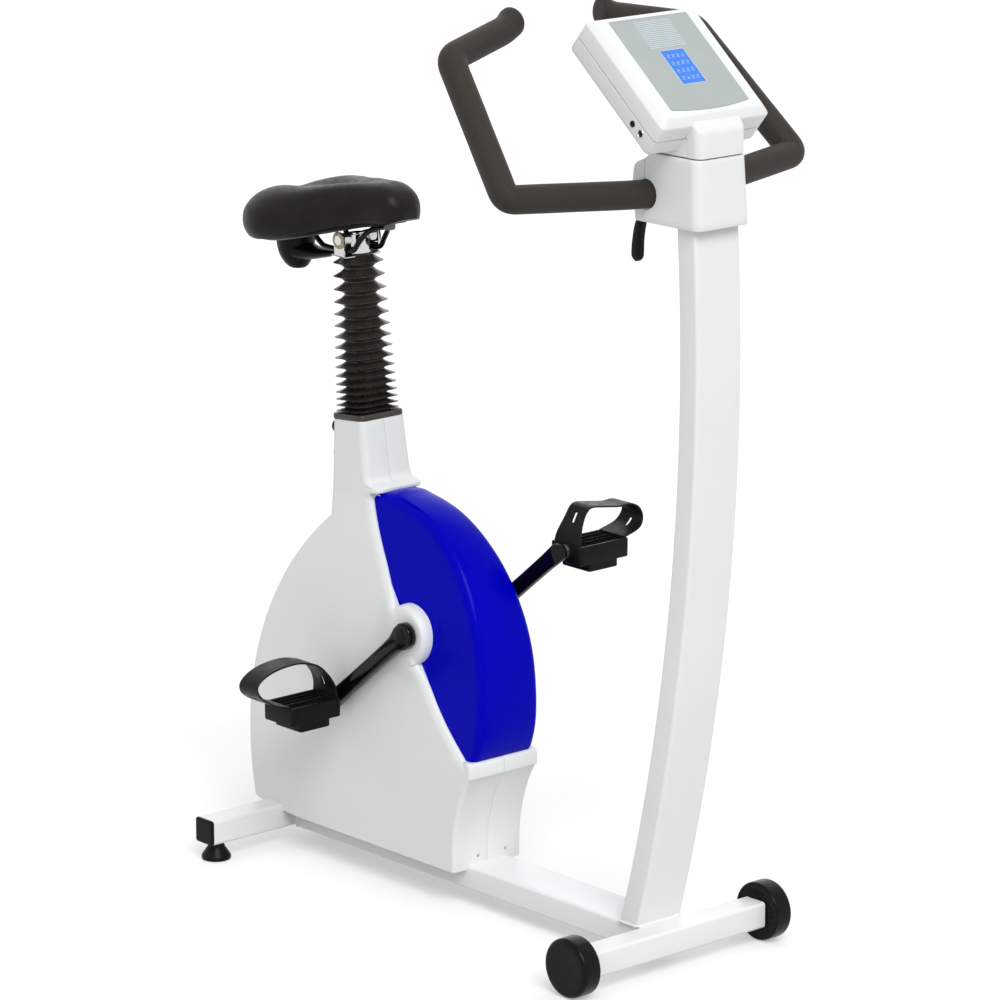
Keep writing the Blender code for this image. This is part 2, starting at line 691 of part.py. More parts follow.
def strap_band(scene, name, line, side, centre):
    """A band over the pedal, wider at its feet; its line runs outward and up from the pedal's top."""
    path = smooth_line(line, 2)
    rings = []
    top = max(p.y for p in path)
    for i, point in enumerate(path):
        before = path[max(i - 1, 0)]
        after = path[min(i + 1, len(path) - 1)]
        run = (after - before).normalized()
        across = Vector((-run.y, run.x)) * STRAP_T / 2
        if i in (0, len(path) - 1):
            across = Vector((-STRAP_T / 2, 0))
        half = (STRAP_W + (STRAP_TOP_W - STRAP_W) * min(1.0, point.y / (top * 0.75))) / 2
        ring = []
        for x, p in ((-half, point - across), (half, point - across), (half, point + across),
                     (-half, point + across)):
            ring.append(centre + Vector((x, side * p.x, PEDAL_TOP + GAP + p.y)))
        rings.append(ring)
    piece = scene.add("pedal_strap_" + name, *loft(rings), "black_plastic", origin=centre)
    rings = []
    for out, up in STRAP_TAIL[name]:
        half = STRAP_TOP_W / 2 - 0.0005
        rings.append([centre + Vector((x, side * out, PEDAL_TOP + up + z))
                      for x, z in ((-half, -0.0011), (half, -0.0011), (half, 0.0011), (-half, 0.0011))])
    cutter(scene, "add_strap_tail_" + name, loft(rings), piece, "UNION")
    return piece


def pedals(scene):
    for side, name, strap in ((-1, "right", STRAP_RIGHT), (1, "left", STRAP_LEFT)):
        centre = pedal_centre(side)
        body = prism(rounded_rect(PEDAL_L, PEDAL_W, 0.002, 2), "Z", PEDAL_TOP - PEDAL_H, PEDAL_TOP,
                     centre)
        piece = scene.add("pedal_body_" + name, *body, "black_plastic", origin=centre)
        weight = prism(rounded_rect(WEIGHT_L, WEIGHT_W, 0.002, 2), "Z",
                       PEDAL_TOP - PEDAL_H - WEIGHT_H, PEDAL_TOP - PEDAL_H + 0.002, centre)
        cutter(scene, "add_weight_" + name, weight, piece, "UNION")
        bore_start = PEDAL_Y - PEDAL_W / 2 - 0.001
        low, high = sorted((side * bore_start, side * (bore_start + PEDAL_W * 0.86)))
        axle_line = (centre.x, 0, centre.z)
        bore = prism(circle(PEDAL_AXLE_R + SLIDE_GAP, 16), "Y", low, high, axle_line)
        cutter(scene, "cut_pedal_bore_" + name, bore, piece)

        start = ARM_IN + 0.001
        shoulder = ARM_IN + ARM_T + GAP
        body_face = PEDAL_Y - PEDAL_W / 2
        profile = [(PEDAL_AXLE_R, start), (PEDAL_AXLE_R, shoulder), (0.0085, shoulder),
                   (0.0085, body_face - SLIDE_GAP), (PEDAL_AXLE_R, body_face - SLIDE_GAP),
                   (PEDAL_AXLE_R, body_face + PEDAL_W * 0.80)]
        profile = [(r, side * at) for r, at in profile]
        scene.add("pedal_axle_" + name, *solid_turned(profile, "Y", axle_line, 16), "steel",
                  origin=centre)

        piece = strap_band(scene, name, strap, side, centre)
        for number, (spot, turn) in enumerate((STRAP_SLOTS[name][0], STRAP_SLOTS[name][1])):
            slot = prism(rounded_rect(0.005, 0.016, 0.0024, 3), "Y", -0.010, 0.010)
            roll = Matrix.Rotation(side * radians(turn), 3, "X")
            shift = centre + Vector((0, side * spot[0], PEDAL_TOP + spot[1]))
            cutter(scene, f"cut_strap_slot_{name}_{number}",
                   ([roll @ Vector(p) + shift for p in slot[0]], slot[1]), piece)


def flywheel(scene):
    """Brake disc and its small pulley, one turned piece on the fixed axle."""
    centre = (FLY_X, 0, FLY_Z)
    bore = FLY_AXLE_R + SLIDE_GAP
    out = PULLEY_IN + PULLEY_W
    profile = [(bore, FLY_IN - FLY_HUB_OUT), (FLY_HUB_R, FLY_IN - FLY_HUB_OUT), (FLY_HUB_R, FLY_IN),
               (FLY_R, FLY_IN), (FLY_R, FLY_IN + FLY_W), (FLY_HUB_R, FLY_IN + FLY_W),
               (FLY_HUB_R, PULLEY_IN), (FLY_PULLEY_R, PULLEY_IN), (FLY_PULLEY_R, out), (bore, out)]
    scene.add("flywheel", *bored_turned(profile, "Y", centre, 28), "iron", origin=centre)


def flywheel_carrier(scene):
    """Fork on the beam, and the axle it holds."""
    low = BEAM_Z + BEAM_H / 2 + GAP
    face = FLY_IN - FLY_HUB_OUT - SLIDE_GAP
    outline = [(FLY_X - 0.030, low), (FLY_X + 0.020, low), (FLY_X + 0.012, FLY_Z + 0.004),
               (FLY_X + 0.006, FLY_Z + 0.012), (FLY_X - 0.006, FLY_Z + 0.012),
               (FLY_X - 0.012, FLY_Z + 0.004)]
    plate = prism(outline, "Y", face - FORK_T, face)
    piece = scene.add("flywheel_fork", *plate, "steel", smooth=0)
    foot = box((FLY_X - 0.030, -0.030, low), (FLY_X + 0.020, face - FORK_T / 2, low + FORK_T))
    cutter(scene, "add_fork_foot", foot, piece, "UNION")
    hole = prism(circle(FLY_AXLE_R + GAP, 16), "Y", face - FORK_T - 0.002, face + 0.002,
                 (FLY_X, 0, FLY_Z))
    cutter(scene, "cut_fork_hole", hole, piece)
    head = face - FORK_T - GAP
    profile = [(0.010, head - 0.005), (0.010, head), (FLY_AXLE_R, head),
               (FLY_AXLE_R, PULLEY_IN + PULLEY_W + 0.0022),
               (FLY_AXLE_R - 0.0006, PULLEY_IN + PULLEY_W + 0.0028)]
    scene.add("flywheel_axle", *solid_turned(profile, "Y", (FLY_X, 0, FLY_Z), 16), "steel")


def brake_magnet(scene):
    """Magnet yoke that straddles the disc's rim and slows it by eddy currents; it stands on the
    beam beside the disc."""
    low = BEAM_Z + BEAM_H / 2 + GAP
    x0 = FLY_X + 0.0245
    x1 = FLY_X + 0.0605
    top = FLY_Z - 0.035
    block = box((x0, FLY_IN - 0.012, low), (x1, FLY_IN + FLY_W + 0.0105, top))
    piece = scene.add("brake_magnet", *block, "iron", smooth=0)
    slot = prism(circle(FLY_R + 0.0025, 28), "Y", FLY_IN - 0.002, FLY_IN + FLY_W + 0.002,
                 (FLY_X, 0, FLY_Z))
    cutter(scene, "cut_magnet_slot", slot, piece)


def drive_belt(scene):
    """Flat belt round both pulleys, on the tangent lines."""
    start = Vector((0, CRANK_Z))
    end = Vector((FLY_X, FLY_Z))
    run = end - start
    heading = atan2(run.y, run.x)
    wrap = asin((PULLEY_R - FLY_PULLEY_R) / run.length)

    def outline(extra):
        points = []
        big = PULLEY_R + extra
        small = FLY_PULLEY_R + extra
        for step in range(BELT_STEPS + 1):
            angle = heading + pi / 2 - wrap + step * (pi + 2 * wrap) / BELT_STEPS
            points.append((start.x + big * cos(angle), start.y + big * sin(angle)))
        for step in range(BELT_STEPS // 2 + 1):
            angle = heading - pi / 2 + wrap + step * (pi - 2 * wrap) / (BELT_STEPS // 2)
            points.append((end.x + small * cos(angle), end.y + small * sin(angle)))
        return points

    low = PULLEY_IN + (PULLEY_W - BELT_W) / 2
    side = [place(outline(extra), (0, at, 0), (1, 0, 0), (0, 0, 1))
            for extra, at in ((BELT_GAP, low), (BELT_GAP + BELT_T, low),
                              (BELT_GAP + BELT_T, low + BELT_W), (BELT_GAP, low + BELT_W))]
    scene.add("drive_belt", *loft(side, True), "belt_rubber")


# Seat

def seat_axes():
    """Origin at the neck's top, up the post, and the two level-ish directions."""
    lean = radians(SEAT_LEAN)
    up = Vector((-sin(lean), 0, cos(lean)))
    ahead = Vector((cos(lean), 0, sin(lean)))
    return Vector((SEAT_X, 0, SEAT_Z)), up, ahead, Vector((0, 1, 0))


def along_post(profile, sides, ring_closed):
    origin, up, ahead, left = seat_axes()
    rings = [place(circle(radius, sides), origin + up * at, ahead, left) for radius, at in profile]
    return loft(rings, ring_closed)


def seat_tube(scene):
    """Outer tube with a plate on top that carries the housing's neck."""
    inner = POST_R + SLIDE_GAP
    outer = inner + SEAT_TUBE_WALL
    profile = [(inner, -SEAT_TUBE_LENGTH), (outer, -SEAT_TUBE_LENGTH), (outer, -0.010),
               (NECK_PLATE_R, -0.010), (NECK_PLATE_R, -0.005), (inner, -0.005)]
    piece = scene.add("seat_tube", *along_post(profile, 16, True), "steel")
    floor = BEAM_Z + BEAM_H / 2 + GAP
    below = box((SEAT_X - 0.1, -0.1, floor - 0.1), (SEAT_X + 0.2, 0.1, floor))
    cutter(scene, "cut_seat_tube_foot", below, piece)
    hole = prism(circle(LEVER_SCREW_R + GAP, 12), "X", NECK_REAR_X, SEAT_X, (0, 0, SEAT_LEVER_Z))
    cutter(scene, "cut_seat_screw_hole", hole, piece)


def seat_post(scene):
    """Sliding post with a chrome stub for the saddle clamp."""
    bore = POST_R - POST_WALL
    profile = [(bore, -POST_IN), (POST_R, -POST_IN), (POST_R, POST_TOP - 0.010),
               (STUB_R, POST_TOP - 0.008), (STUB_R, POST_TOP + 0.023),
               (STUB_R - POST_WALL, POST_TOP + 0.023), (STUB_R - POST_WALL, POST_TOP - 0.014),
               (bore, POST_TOP - 0.018)]
    origin, up, ahead, left = seat_axes()
    scene.add("seat_post", *along_post(profile, 16, True), "chrome", origin=origin)


def bellows(scene):
    """Ribbed sleeve round the post: ribs close up towards the neck and grow squarer."""
    origin, up, ahead, left = seat_axes()
    base_x, base_y = 0.0272, 0.0340
    tops = []
    for rib in range(RIBS + 1):
        share = rib / RIBS
        tops.append(FLANGE_T + (RIB_END - FLANGE_T) * (0.42 * share + 0.58 * share ** 1.75))

    def ring(tip, at):
        share = (at - FLANGE_T) / (RIB_END - FLANGE_T)
        share = min(max(share, 0.0), 1.0)
        half_x = base_x + (0.0304 - base_x) * share
        half_y = base_y + (0.0304 - base_y) * share
        if not tip:
            half_x -= 0.0095 + 0.0037 * share
            half_y -= 0.0115 + 0.0017 * share
        round_share = 0.42 + 0.56 * share
        corner = min(half_x, half_y) * round_share
        outline = rounded_rect(2 * half_x, 2 * half_y, corner, 3)
        return place(outline, origin + up * at, ahead, left)

    flange = rounded_rect(2 * base_x + 0.0012, 2 * base_y + 0.0012, 0.012, 3)
    rings = [place(flange, origin + up * GAP, ahead, left),
             place(flange, origin + up * (FLANGE_T - 0.001), ahead, left)]
    rings.append(ring(False, tops[0] + 0.0004))
    for rib in range(RIBS):
        pitch = tops[rib + 1] - tops[rib]
        rings.append(ring(True, tops[rib] + pitch * 0.5))
        rings.append(ring(False, tops[rib + 1] - (0.0025 if rib == RIBS - 1 else 0.0)))
    rings.append(ring(False, BELLOWS_LENGTH))
    count = len(rings[0])
    for at in (BELLOWS_LENGTH, GAP):
        bore = circle(BELLOWS_BORE_R, count)
        rings.append(place(bore, origin + up * at, ahead, left))
    scene.add("bellows", *loft(rings, True), "bellows_rubber", origin=origin, smooth=50)


def seat_lever(scene):
    """Clamping lever behind the neck: a screw, a hub and a hanging handle."""
    centre = Vector((NECK_REAR_X - GAP, 0, SEAT_LEVER_Z))
    screw = [(LEVER_SCREW_R, 0.0145), (LEVER_SCREW_R, 0.0), (0.0085, 0.0), (0.0095, -0.004), (0.0095, -0.024),
             (0.0085, -0.0325), (0.006, -0.0335)]
    shape = solid_turned(screw, "X", centre, 16)
    piece = scene.add("seat_lever", *shape, "black_plastic", origin=centre)
    levels = ((0.004, 0.0060, 0.0040), (-0.020, 0.0065, 0.0042), (-0.034, 0.0075, 0.0048),
              (-0.040, 0.0055, 0.0036))
    rings = [place([(a * half_y / 0.01, b * half_x / 0.01)
                    for a, b in rounded_rect(0.02, 0.02, 0.007, 2)],
                   centre + Vector((-0.0280, 0, z)), (0, 1, 0), (1, 0, 0))
             for z, half_y, half_x in levels]
    cutter(scene, "add_seat_handle", loft(rings), piece, "UNION")


# Housing

def housing_rear(z):
    if z >= NECK_FOOT_Z:
        return NECK_REAR_X
    return REAR_ARC_X - sqrt(REAR_ARC_R ** 2 - (z - REAR_ARC_Z) ** 2)


def housing_levels():
    """Heights at which the housing is sliced, from the beam to the neck's top."""
    levels = [z for z, _ in HOUSING_FRONT]
    levels += [0.210, NECK_FOOT_Z, 0.4505]
    return sorted(set(levels))


def housing_slice(z, inset, front_inset=None):
    """Right half of a level slice (y below zero), as an open line from rear to front."""
    if front_inset is None:
        front_inset = inset
    rear = housing_rear(z) + inset
    front = value_at(HOUSING_FRONT, z) - front_inset
    half = value_at(HOUSING_HALF, z) - inset
    corner = max(EDGE_R - inset, 0.003)
    front_corner = max((EDGE_R if z > 0.187 else FOOT_EDGE_R) - inset, 0.002)
    line = [(rear, 0.0)]
    for step in range(3):
        angle = step / 2 * pi / 2
        line.append((rear + corner - corner * cos(angle), -half + corner - corner * sin(angle)))
    for step in range(3):
        angle = step / 2 * pi / 2
        line.append((front - front_corner + front_corner * sin(angle),
                     -half + front_corner - front_corner * cos(angle)))
    line.append((front, 0.0))
    return line


def cover_outline(inset):
    """Side view of the region that the front cover fills; inset makes it smaller."""
    tab_x, tab_z = COVER_EDGE_UPPER[0]
    points = [(tab_x + inset, OPENING_TOP), (tab_x + inset, tab_z)]
    points += [(x + inset, z + inset * 0.3) for x, z in COVER_EDGE_UPPER[1:]]
    radius = RIM_R + inset
    start = radians(118)
    end = radians(-46)
    for step in range(9):
        angle = start + (end - start) * step / 8
        points.append((RIM_X + radius * cos(angle), CRANK_Z + radius * sin(angle)))
    points += [(x + inset * 0.7, z + inset * 0.7) for x, z in COVER_EDGE_LOWER[:-1]]
    points.append((COVER_EDGE_LOWER[-1][0] + inset, COVER_EDGE_LOWER[-1][1] + inset))
    points.append((OPENING_FRONT, COVER_EDGE_LOWER[-1][1] + inset))
    points.append((OPENING_FRONT, OPENING_TOP))
    return points


def half_shell(levels, outer_inset, inner_inset, mirrored, middle):
    """A thick half shell lofted over level slices."""
    side = -1 if mirrored else 1
    rings = []
    for z in levels:
        outer = housing_slice(z, outer_inset)
        inner = housing_slice(z, inner_inset)
        outer[0] = (outer[0][0], -middle)
        outer[-1] = (outer[-1][0], -middle)
        inner[0] = (inner[0][0], -middle)
        inner[-1] = (inner[-1][0], -middle)
        loop = outer + inner[::-1]
        rings.append([Vector((x, side * y, z)) for x, y in loop])
    return loft(rings)


def housing(scene):
    """Two white half shells, joined on the middle plane, with the opening for the front cover."""
    levels = housing_levels()
    for mirrored, name, side in ((False, "right", -1), (True, "left", 1)):
        shell = half_shell(levels, 0.0, WALL, mirrored, GAP / 2)
        piece = scene.add("housing_" + name, *shell, "white_plastic")
        low, high = sorted((side * 0.0478, side * BOSS_Y))
        boss = prism(circle(BOSS_R, 28), "Y", low, high, (0, 0, CRANK_Z))
        opening = prism(cover_outline(0.0), "Y", *sorted((-side * 0.01, side * 0.07)))
        cutter(scene, "cut_cover_opening_" + name, opening, piece)
        cutter(scene, "add_boss_" + name, boss, piece, "UNION")
        hole = prism(circle(SHAFT_HOLE_R, 16), "Y", *sorted((side * 0.040, side * 0.070)),
                     (0, 0, CRANK_Z))
        cutter(scene, "cut_shaft_hole_" + name, hole, piece)
        for number, (x, y, z) in enumerate(screw_places()):
            if y * side > 0:
                hole = prism(circle(SCREW_R + GAP, 12), "X", x - 0.020, x + 0.020, (0, y, z))
                cutter(scene, f"cut_screw_hole_{number}", hole, piece)
        housing_cuts(scene, name, piece)


def housing_cuts(scene, name, piece):
    """Room for the lever's screw, the beam and the rear tube, the bevelled tail and the neck's top."""
    hole = prism(circle(LEVER_SCREW_R + 2 * GAP, 12), "X", NECK_REAR_X - 0.01, SEAT_X,
                 (0, 0, SEAT_LEVER_Z))
    cutter(scene, "cut_lever_hole_" + name, hole, piece)
    half = BEAM_W / 2 + GAP
    beam = box((REAR_X, -half, 0.03), (0.2, half, BEAM_Z + BEAM_H / 2 + GAP))
    cutter(scene, "cut_beam_room_" + name, beam, piece)
    half = CROSS_D / 2 + GAP
    tube = box((REAR_X - half, -0.1, 0.03), (REAR_X + half, 0.1, REAR_Z + CROSS_H / 2 + GAP))
    cutter(scene, "cut_tube_room_" + name, tube, piece)
    tail = prism([(-0.340, 0.030), (-0.180, 0.030), (-0.180, 0.0440), (-0.255, 0.0470),
                  (-0.285, 0.0510), (-0.340, 0.0610)], "Y", -0.07, 0.07)
    cutter(scene, "cut_tail_" + name, tail, piece)
    origin, up, ahead, left = seat_axes()
    square = rounded_rect(0.12, 0.12, 0.01, 1)
    rings = [place(square, origin + up * at, ahead, left) for at in (0.0, 0.05)]
    cutter(scene, "cut_neck_top_" + name, loft(rings), piece)


def screw_places():
    """Two screws in the lower front, one through each half: x, y and z of their heads."""
    return ((0.0780, -0.0155, 0.0600), (0.0780, 0.0285, 0.0600))


def housing_screws(scene):
    for (x, y, z), name in zip(screw_places(), ("right", "left")):
        profile = [(SCREW_R, x - 0.016), (SCREW_R, x - 0.0008), (SCREW_R * 0.8, x + 0.0002)]
        scene.add("housing_screw_" + name, *solid_turned(profile, "X", (0, y, z), 12), "steel")


def front_cover(scene):
    """The blue cover: a thin shell that closes the housing's front, a little below the rim."""
    levels = [z for z in housing_levels() if z >= COVER_EDGE_LOWER[-1][1] - 0.004]
    rings = []
    for z in levels:
        side_inset = RIM_RAISE * 1.9
        outer = housing_slice(z, side_inset, 0.0)
        inner = housing_slice(z, side_inset + COVER_WALL, COVER_WALL)
        loop = [(x, y) for x, y in outer[1:]] + [(x, -y) for x, y in outer[1:-1][::-1]]
        hole = [(x, y) for x, y in inner[1:]] + [(x, -y) for x, y in inner[1:-1][::-1]]
        rings.append(([Vector((x, y, z)) for x, y in loop], [Vector((x, y, z)) for x, y in hole]))
    outer = [pair[0] for pair in rings]
    inner = [pair[1] for pair in rings]
    piece = scene.add("front_cover", *loft(outer + inner[::-1], True), "blue_plastic")
    keep = prism(cover_outline(GAP * 2), "Y", -0.08, 0.08)
    cutter(scene, "keep_cover_region", keep, piece, "INTERSECT")


def mains_parts(scene):
    """Cord inlet on the left half's rear and a rocker switch on the right half's."""
    rear = housing_rear(INLET_Z)
    outline = rounded_rect(2 * INLET_HALF_Y, 2 * INLET_HALF_Z, 0.002, 2)
    frame = rounded_rect(2 * INLET_HALF_Y + 0.006, 2 * INLET_HALF_Z + 0.006, 0.003, 2)
    spot = (rear, INLET_Y, INLET_Z)
    u, v, _ = AXES["X"]
    levels = ((frame, -0.0025), (frame, -0.0012), (outline, -0.0012), (outline, 0.022))
    rings = [place(points, Vector(spot) + Vector((at, 0, 0)), u, v) for points, at in levels]
    piece = scene.add("mains_inlet", *loft(rings), "black_plastic", smooth=0)
    socket = prism(rounded_rect(SOCKET_W, SOCKET_H, 0.003, 2), "X", rear - 0.006, rear + SOCKET_DEPTH,
                   (0, INLET_Y, INLET_Z))
    cutter(scene, "cut_inlet_socket", socket, piece)
    hole = prism(rounded_rect(2 * (INLET_HALF_Y + GAP), 2 * (INLET_HALF_Z + GAP), 0.0023, 2), "X",
                 rear - 0.01, rear + 0.02, (0, INLET_Y, INLET_Z))
    cutter(scene, "cut_inlet_hole", hole, bpy.data.objects["housing_left"])
    grown = rounded_rect(2 * INLET_HALF_Y + 0.006 + 2 * GAP, 2 * INLET_HALF_Z + 0.006 + 2 * GAP, 0.003, 2)
    pocket = prism(grown, "X", rear - 0.01, rear - 0.0012 + GAP, (0, INLET_Y, INLET_Z))
    cutter(scene, "cut_inlet_pocket", pocket, bpy.data.objects["housing_left"])

    hinge = Vector((rear + 0.004, -INLET_Y, INLET_Z))
    clear = 3 * SLIDE_GAP
    window = prism(rounded_rect(2 * (SWITCH_HALF_Y + SLIDE_GAP), 2 * (SWITCH_HALF_Z + clear), 0.001, 1),
                   "X", rear - 0.01, rear + 0.02, (0, -INLET_Y, INLET_Z))
    cutter(scene, "cut_switch_window", window, bpy.data.objects["housing_right"])
    tilt = 0.0012
    outline = [(hinge.x - 0.0062, INLET_Z - SWITCH_HALF_Z), (hinge.x - 0.0050 - tilt, INLET_Z),
               (hinge.x - 0.0052, INLET_Z + SWITCH_HALF_Z),
               (hinge.x + 0.0030, INLET_Z + SWITCH_HALF_Z * 0.80),
               (hinge.x + 0.0060, INLET_Z), (hinge.x + 0.0030, INLET_Z - SWITCH_HALF_Z * 0.80)]
    rocker = prism(outline, "Y", -INLET_Y - SWITCH_HALF_Y, -INLET_Y + SWITCH_HALF_Y)
    scene.add("mains_switch", *rocker, "black_plastic", origin=hinge, smooth=0)


# Saddle

def saddle_half_width(share):
    """Half width of the saddle from the rear (0) to the nose (1)."""
    table = ((0.0, 0.052), (0.04, 0.078), (0.10, 0.096), (0.20, 0.1075), (0.30, 0.1080),
             (0.42, 0.0960), (0.55, 0.0720), (0.68, 0.0500), (0.80, 0.0380), (0.92, 0.0320),
             (0.97, 0.0255), (1.0, 0.0140))
    return value_at(table, share) * SADDLE_HALF / 0.108


def saddle_section(share, sides=24):
    """One closed ring across the saddle: crown with a channel, drawn-in sides, flat underside."""
    half = saddle_half_width(share)
    x = SADDLE_X - SADDLE_LENGTH * (1 - share)
    lobe = value_at(((0.0, 0.0), (0.25, 1.0), (0.55, 0.6), (0.8, 0.0), (1.0, 0.0)), share)
    top = value_at(SADDLE_TOP, share)
    low = value_at(SADDLE_LOW, share)
    ring = []
    for i in range(sides):
        angle = 2 * pi * i / sides
        across = cos(angle)
        up = sin(angle)
        if up >= 0:
            crown = (1 - abs(across) ** 2.4) ** 0.55
            rise = low + (top - low) * (0.42 + 0.58 * crown)
            dip = 0.007 * lobe * max(0.0, 1 - (across / 0.34) ** 2)
            bump = 0.006 * lobe * max(0.0, 1 - ((abs(across) - 0.52) / 0.34) ** 2)
            z = rise - dip + bump
            y = half * across
        else:
            depth = min(1.0, -up * 3.0)
            z = low + (top - low) * 0.42 * (1 - depth)
            y = half * across * (1 - 0.10 * depth)
        ring.append(Vector((x, y, z)))
    return ring


def saddle(scene):
    hinge = saddle_hinge()
    rings = [saddle_section(share) for share in SADDLE_STATIONS]
    piece = scene.add("saddle_cushion", *loft(rings), "saddle_vinyl", origin=hinge, smooth=60)
    return piece


def saddle_hinge():
    """The tilt axis of the saddle: the clamp's cross bolt."""
    origin, up, _, _ = seat_axes()
    on_post = origin + up * (POST_TOP + 0.016)
    return Vector((on_post.x, 0, on_post.z))


def saddle_under(scene):
    """Moulded underside with the rear pouch, the rails, the clamp and the bumper."""
    hinge = saddle_hinge()
    x_rear = SADDLE_X - SADDLE_LENGTH
    plate = []
    for share in SADDLE_STATIONS[3:14]:
        half = saddle_half_width(share) * 0.82 - 0.002
        low = value_at(SADDLE_LOW, share)
        x = SADDLE_X - SADDLE_LENGTH * (1 - share)
        top = low - GAP * 2
        plate.append([Vector((x, -half, top)), Vector((x, half, top)),
                      Vector((x, half * 0.9, top - 0.004)), Vector((x, -half * 0.9, top - 0.004))])
    piece = scene.add("saddle_base", *loft(plate), "black_plastic", origin=hinge, smooth=40)
    pouch = []
    for z, x, half_x, half_y in POUCH:
        pouch.append([Vector((x + half_x * cos(a), half_y * sin(a), z))
                      for a in (2 * pi * i / 16 for i in range(16))])
    cutter(scene, "add_pouch", loft(pouch), piece, "UNION")
    tongue = []
    for x, z, half_z, half_y in TONGUE:
        tongue.append([Vector((x, half_y * cos(a), z + half_z * sin(a)))
                       for a in (2 * pi * i / 12 for i in range(12))])
    cutter(scene, "add_tongue", loft(tongue), piece, "UNION")

    floor = BRACKET_Z + BRACKET_T + GAP + RAIL_R
    path = [(-0.2320, RAIL_Y * 1.32, 0.7805), (-0.2150, RAIL_Y * 1.14, floor + 0.0012),
            (-0.1950, RAIL_Y * 1.01, floor), (hinge.x, RAIL_Y, floor),
            (-0.1440, RAIL_Y, floor + 0.0020), (-0.1345, RAIL_Y * 0.93, floor + 0.0135),
            (-0.1240, RAIL_Y * 0.79, 0.8010), (-0.1155, RAIL_Y * 0.49, 0.8075)]
    half = smooth_line(path, 2)
    wire = half + [Vector((-0.1125, 0, 0.8080))] + [Vector((p.x, -p.y, p.z)) for p in reversed(half)]
    rings = sweep(wire, [RAIL_R] * len(wire), 6)
    scene.add("saddle_rails", *loft(rings), "black_paint", origin=hinge)

    rear_edge = BUMPER_X - BUMPER_R
    seat = value_at(SADDLE_LOW, 1 - (SADDLE_X - rear_edge) / SADDLE_LENGTH) - 2 * GAP
    bumper = solid_turned([(BUMPER_R * 0.6, seat - BUMPER_H), (BUMPER_R * 0.96, seat - BUMPER_H + 0.001),
                           (BUMPER_R, seat)], "Z", (BUMPER_X, 0, 0), 14)
    scene.add("saddle_bumper", *bumper, "grey_rubber", origin=hinge)


def rail_bracket(scene):
    """Chrome frame under the rails, with an ear on each side that turns on the clamp's bolt."""
    hinge = saddle_hinge()
    middle = (hinge.x, 0, 0)
    outer = rounded_rect(BRACKET_L, 2 * EAR_OUT, 0.012, 2)
    top = BRACKET_Z + BRACKET_T
    piece = scene.add("rail_bracket", *prism(outer, "Z", BRACKET_Z, top, middle), "chrome",
                      origin=hinge)
    inner = prism(rounded_rect(BRACKET_L - 0.013, 0.037, 0.010, 2), "Z", BRACKET_Z - 0.01, top + 0.01, middle)
    cutter(scene, "cut_bracket_hole", inner, piece)
    arc = [(EAR_R * cos(pi * i / 8), hinge.z + EAR_R * sin(pi * i / 8)) for i in range(9)]
    ear = arc + [(-EAR_R, BRACKET_Z + 0.0005), (EAR_R, BRACKET_Z + 0.0005)]
    for side, name in ((-1, "right"), (1, "left")):
        low, high = sorted((side * (EAR_OUT - EAR_T), side * EAR_OUT))
        cutter(scene, "add_ear_" + name, prism(ear, "Y", low, high, middle), piece, "UNION")
    hole = prism(circle(CLAMP_BOLT_R + SLIDE_GAP, 12), "Y", -0.05, 0.05, hinge)
    cutter(scene, "cut_ear_holes", hole, piece)


def sweep(path, radii, sides, side=None):
    """Rings of a round tube along a path. With a side given, every ring is turned towards it;
    otherwise the frame is carried along the path without a twist."""
    rings = []
    fixed = side
    for i, point in enumerate(path):
        before = path[max(i - 1, 0)]
        after = path[min(i + 1, len(path) - 1)]
        run = (after - before).normalized()
        if side is None:
            side = run.orthogonal().normalized()
        side = ((fixed or side) - run * (fixed or side).dot(run)).normalized()
        up = run.cross(side)
        rings.append(place(circle(radii[i], sides), point, side, up))
    return rings


def saddle_clamp(scene):
    """Chrome clamp on the post's stub, with cheeks that hold the rails' yokes."""
    hinge = saddle_hinge()
    origin, up, ahead, left = seat_axes()
    start = POST_TOP - 0.002
    inner = STUB_R + GAP
    profile = [(inner, start), (inner + 0.0045, start), (inner + 0.0045, start + 0.023),
               (inner, start + 0.023)]
    piece = scene.add("saddle_clamp", *along_post(profile, 16, True), "chrome", origin=origin)
    shoulder = EAR_OUT - EAR_T - GAP
    for side, name in ((-1, "right"), (1, "left")):
        profile = [(0.0085, side * (inner + 0.002)), (0.0085, side * shoulder),
                   (CLAMP_BOLT_R, side * shoulder), (CLAMP_BOLT_R, side * (EAR_OUT + 0.0015))]
        cutter(scene, "add_bolt_" + name, solid_turned(profile, "Y", hinge, 12), piece, "UNION")


# Head, handlebar and console

def head_slices(inset, z_low, z_high):
    rings = []
    for z in (z_low, z_high):
        share = (z - HEAD_Z0) / (HEAD_Z1 - HEAD_Z0)
        rear = HEAD_REAR + inset
        front = HEAD_FRONT + (HEAD_FRONT_TOP - HEAD_FRONT) * share - inset
        half = HEAD_HALF + (HEAD_HALF_TOP - HEAD_HALF) * share - inset
        outline = []
        for quarter, (edge, sy) in enumerate(((front, 1), (rear, 1), (rear, -1), (front, -1))):
            corner = (HEAD_FRONT_R if edge == front else HEAD_REAR_R) - inset
            middle_x = edge - corner if edge == front else edge + corner
            for step in range(5):
                angle = (quarter + step / 4) * pi / 2
                outline.append((middle_x + corner * cos(angle),
                                sy * (half - corner) + corner * sin(angle)))
        rings.append(place(outline, (0, 0, z), (1, 0, 0), (0, 1, 0)))
    return loft(rings)


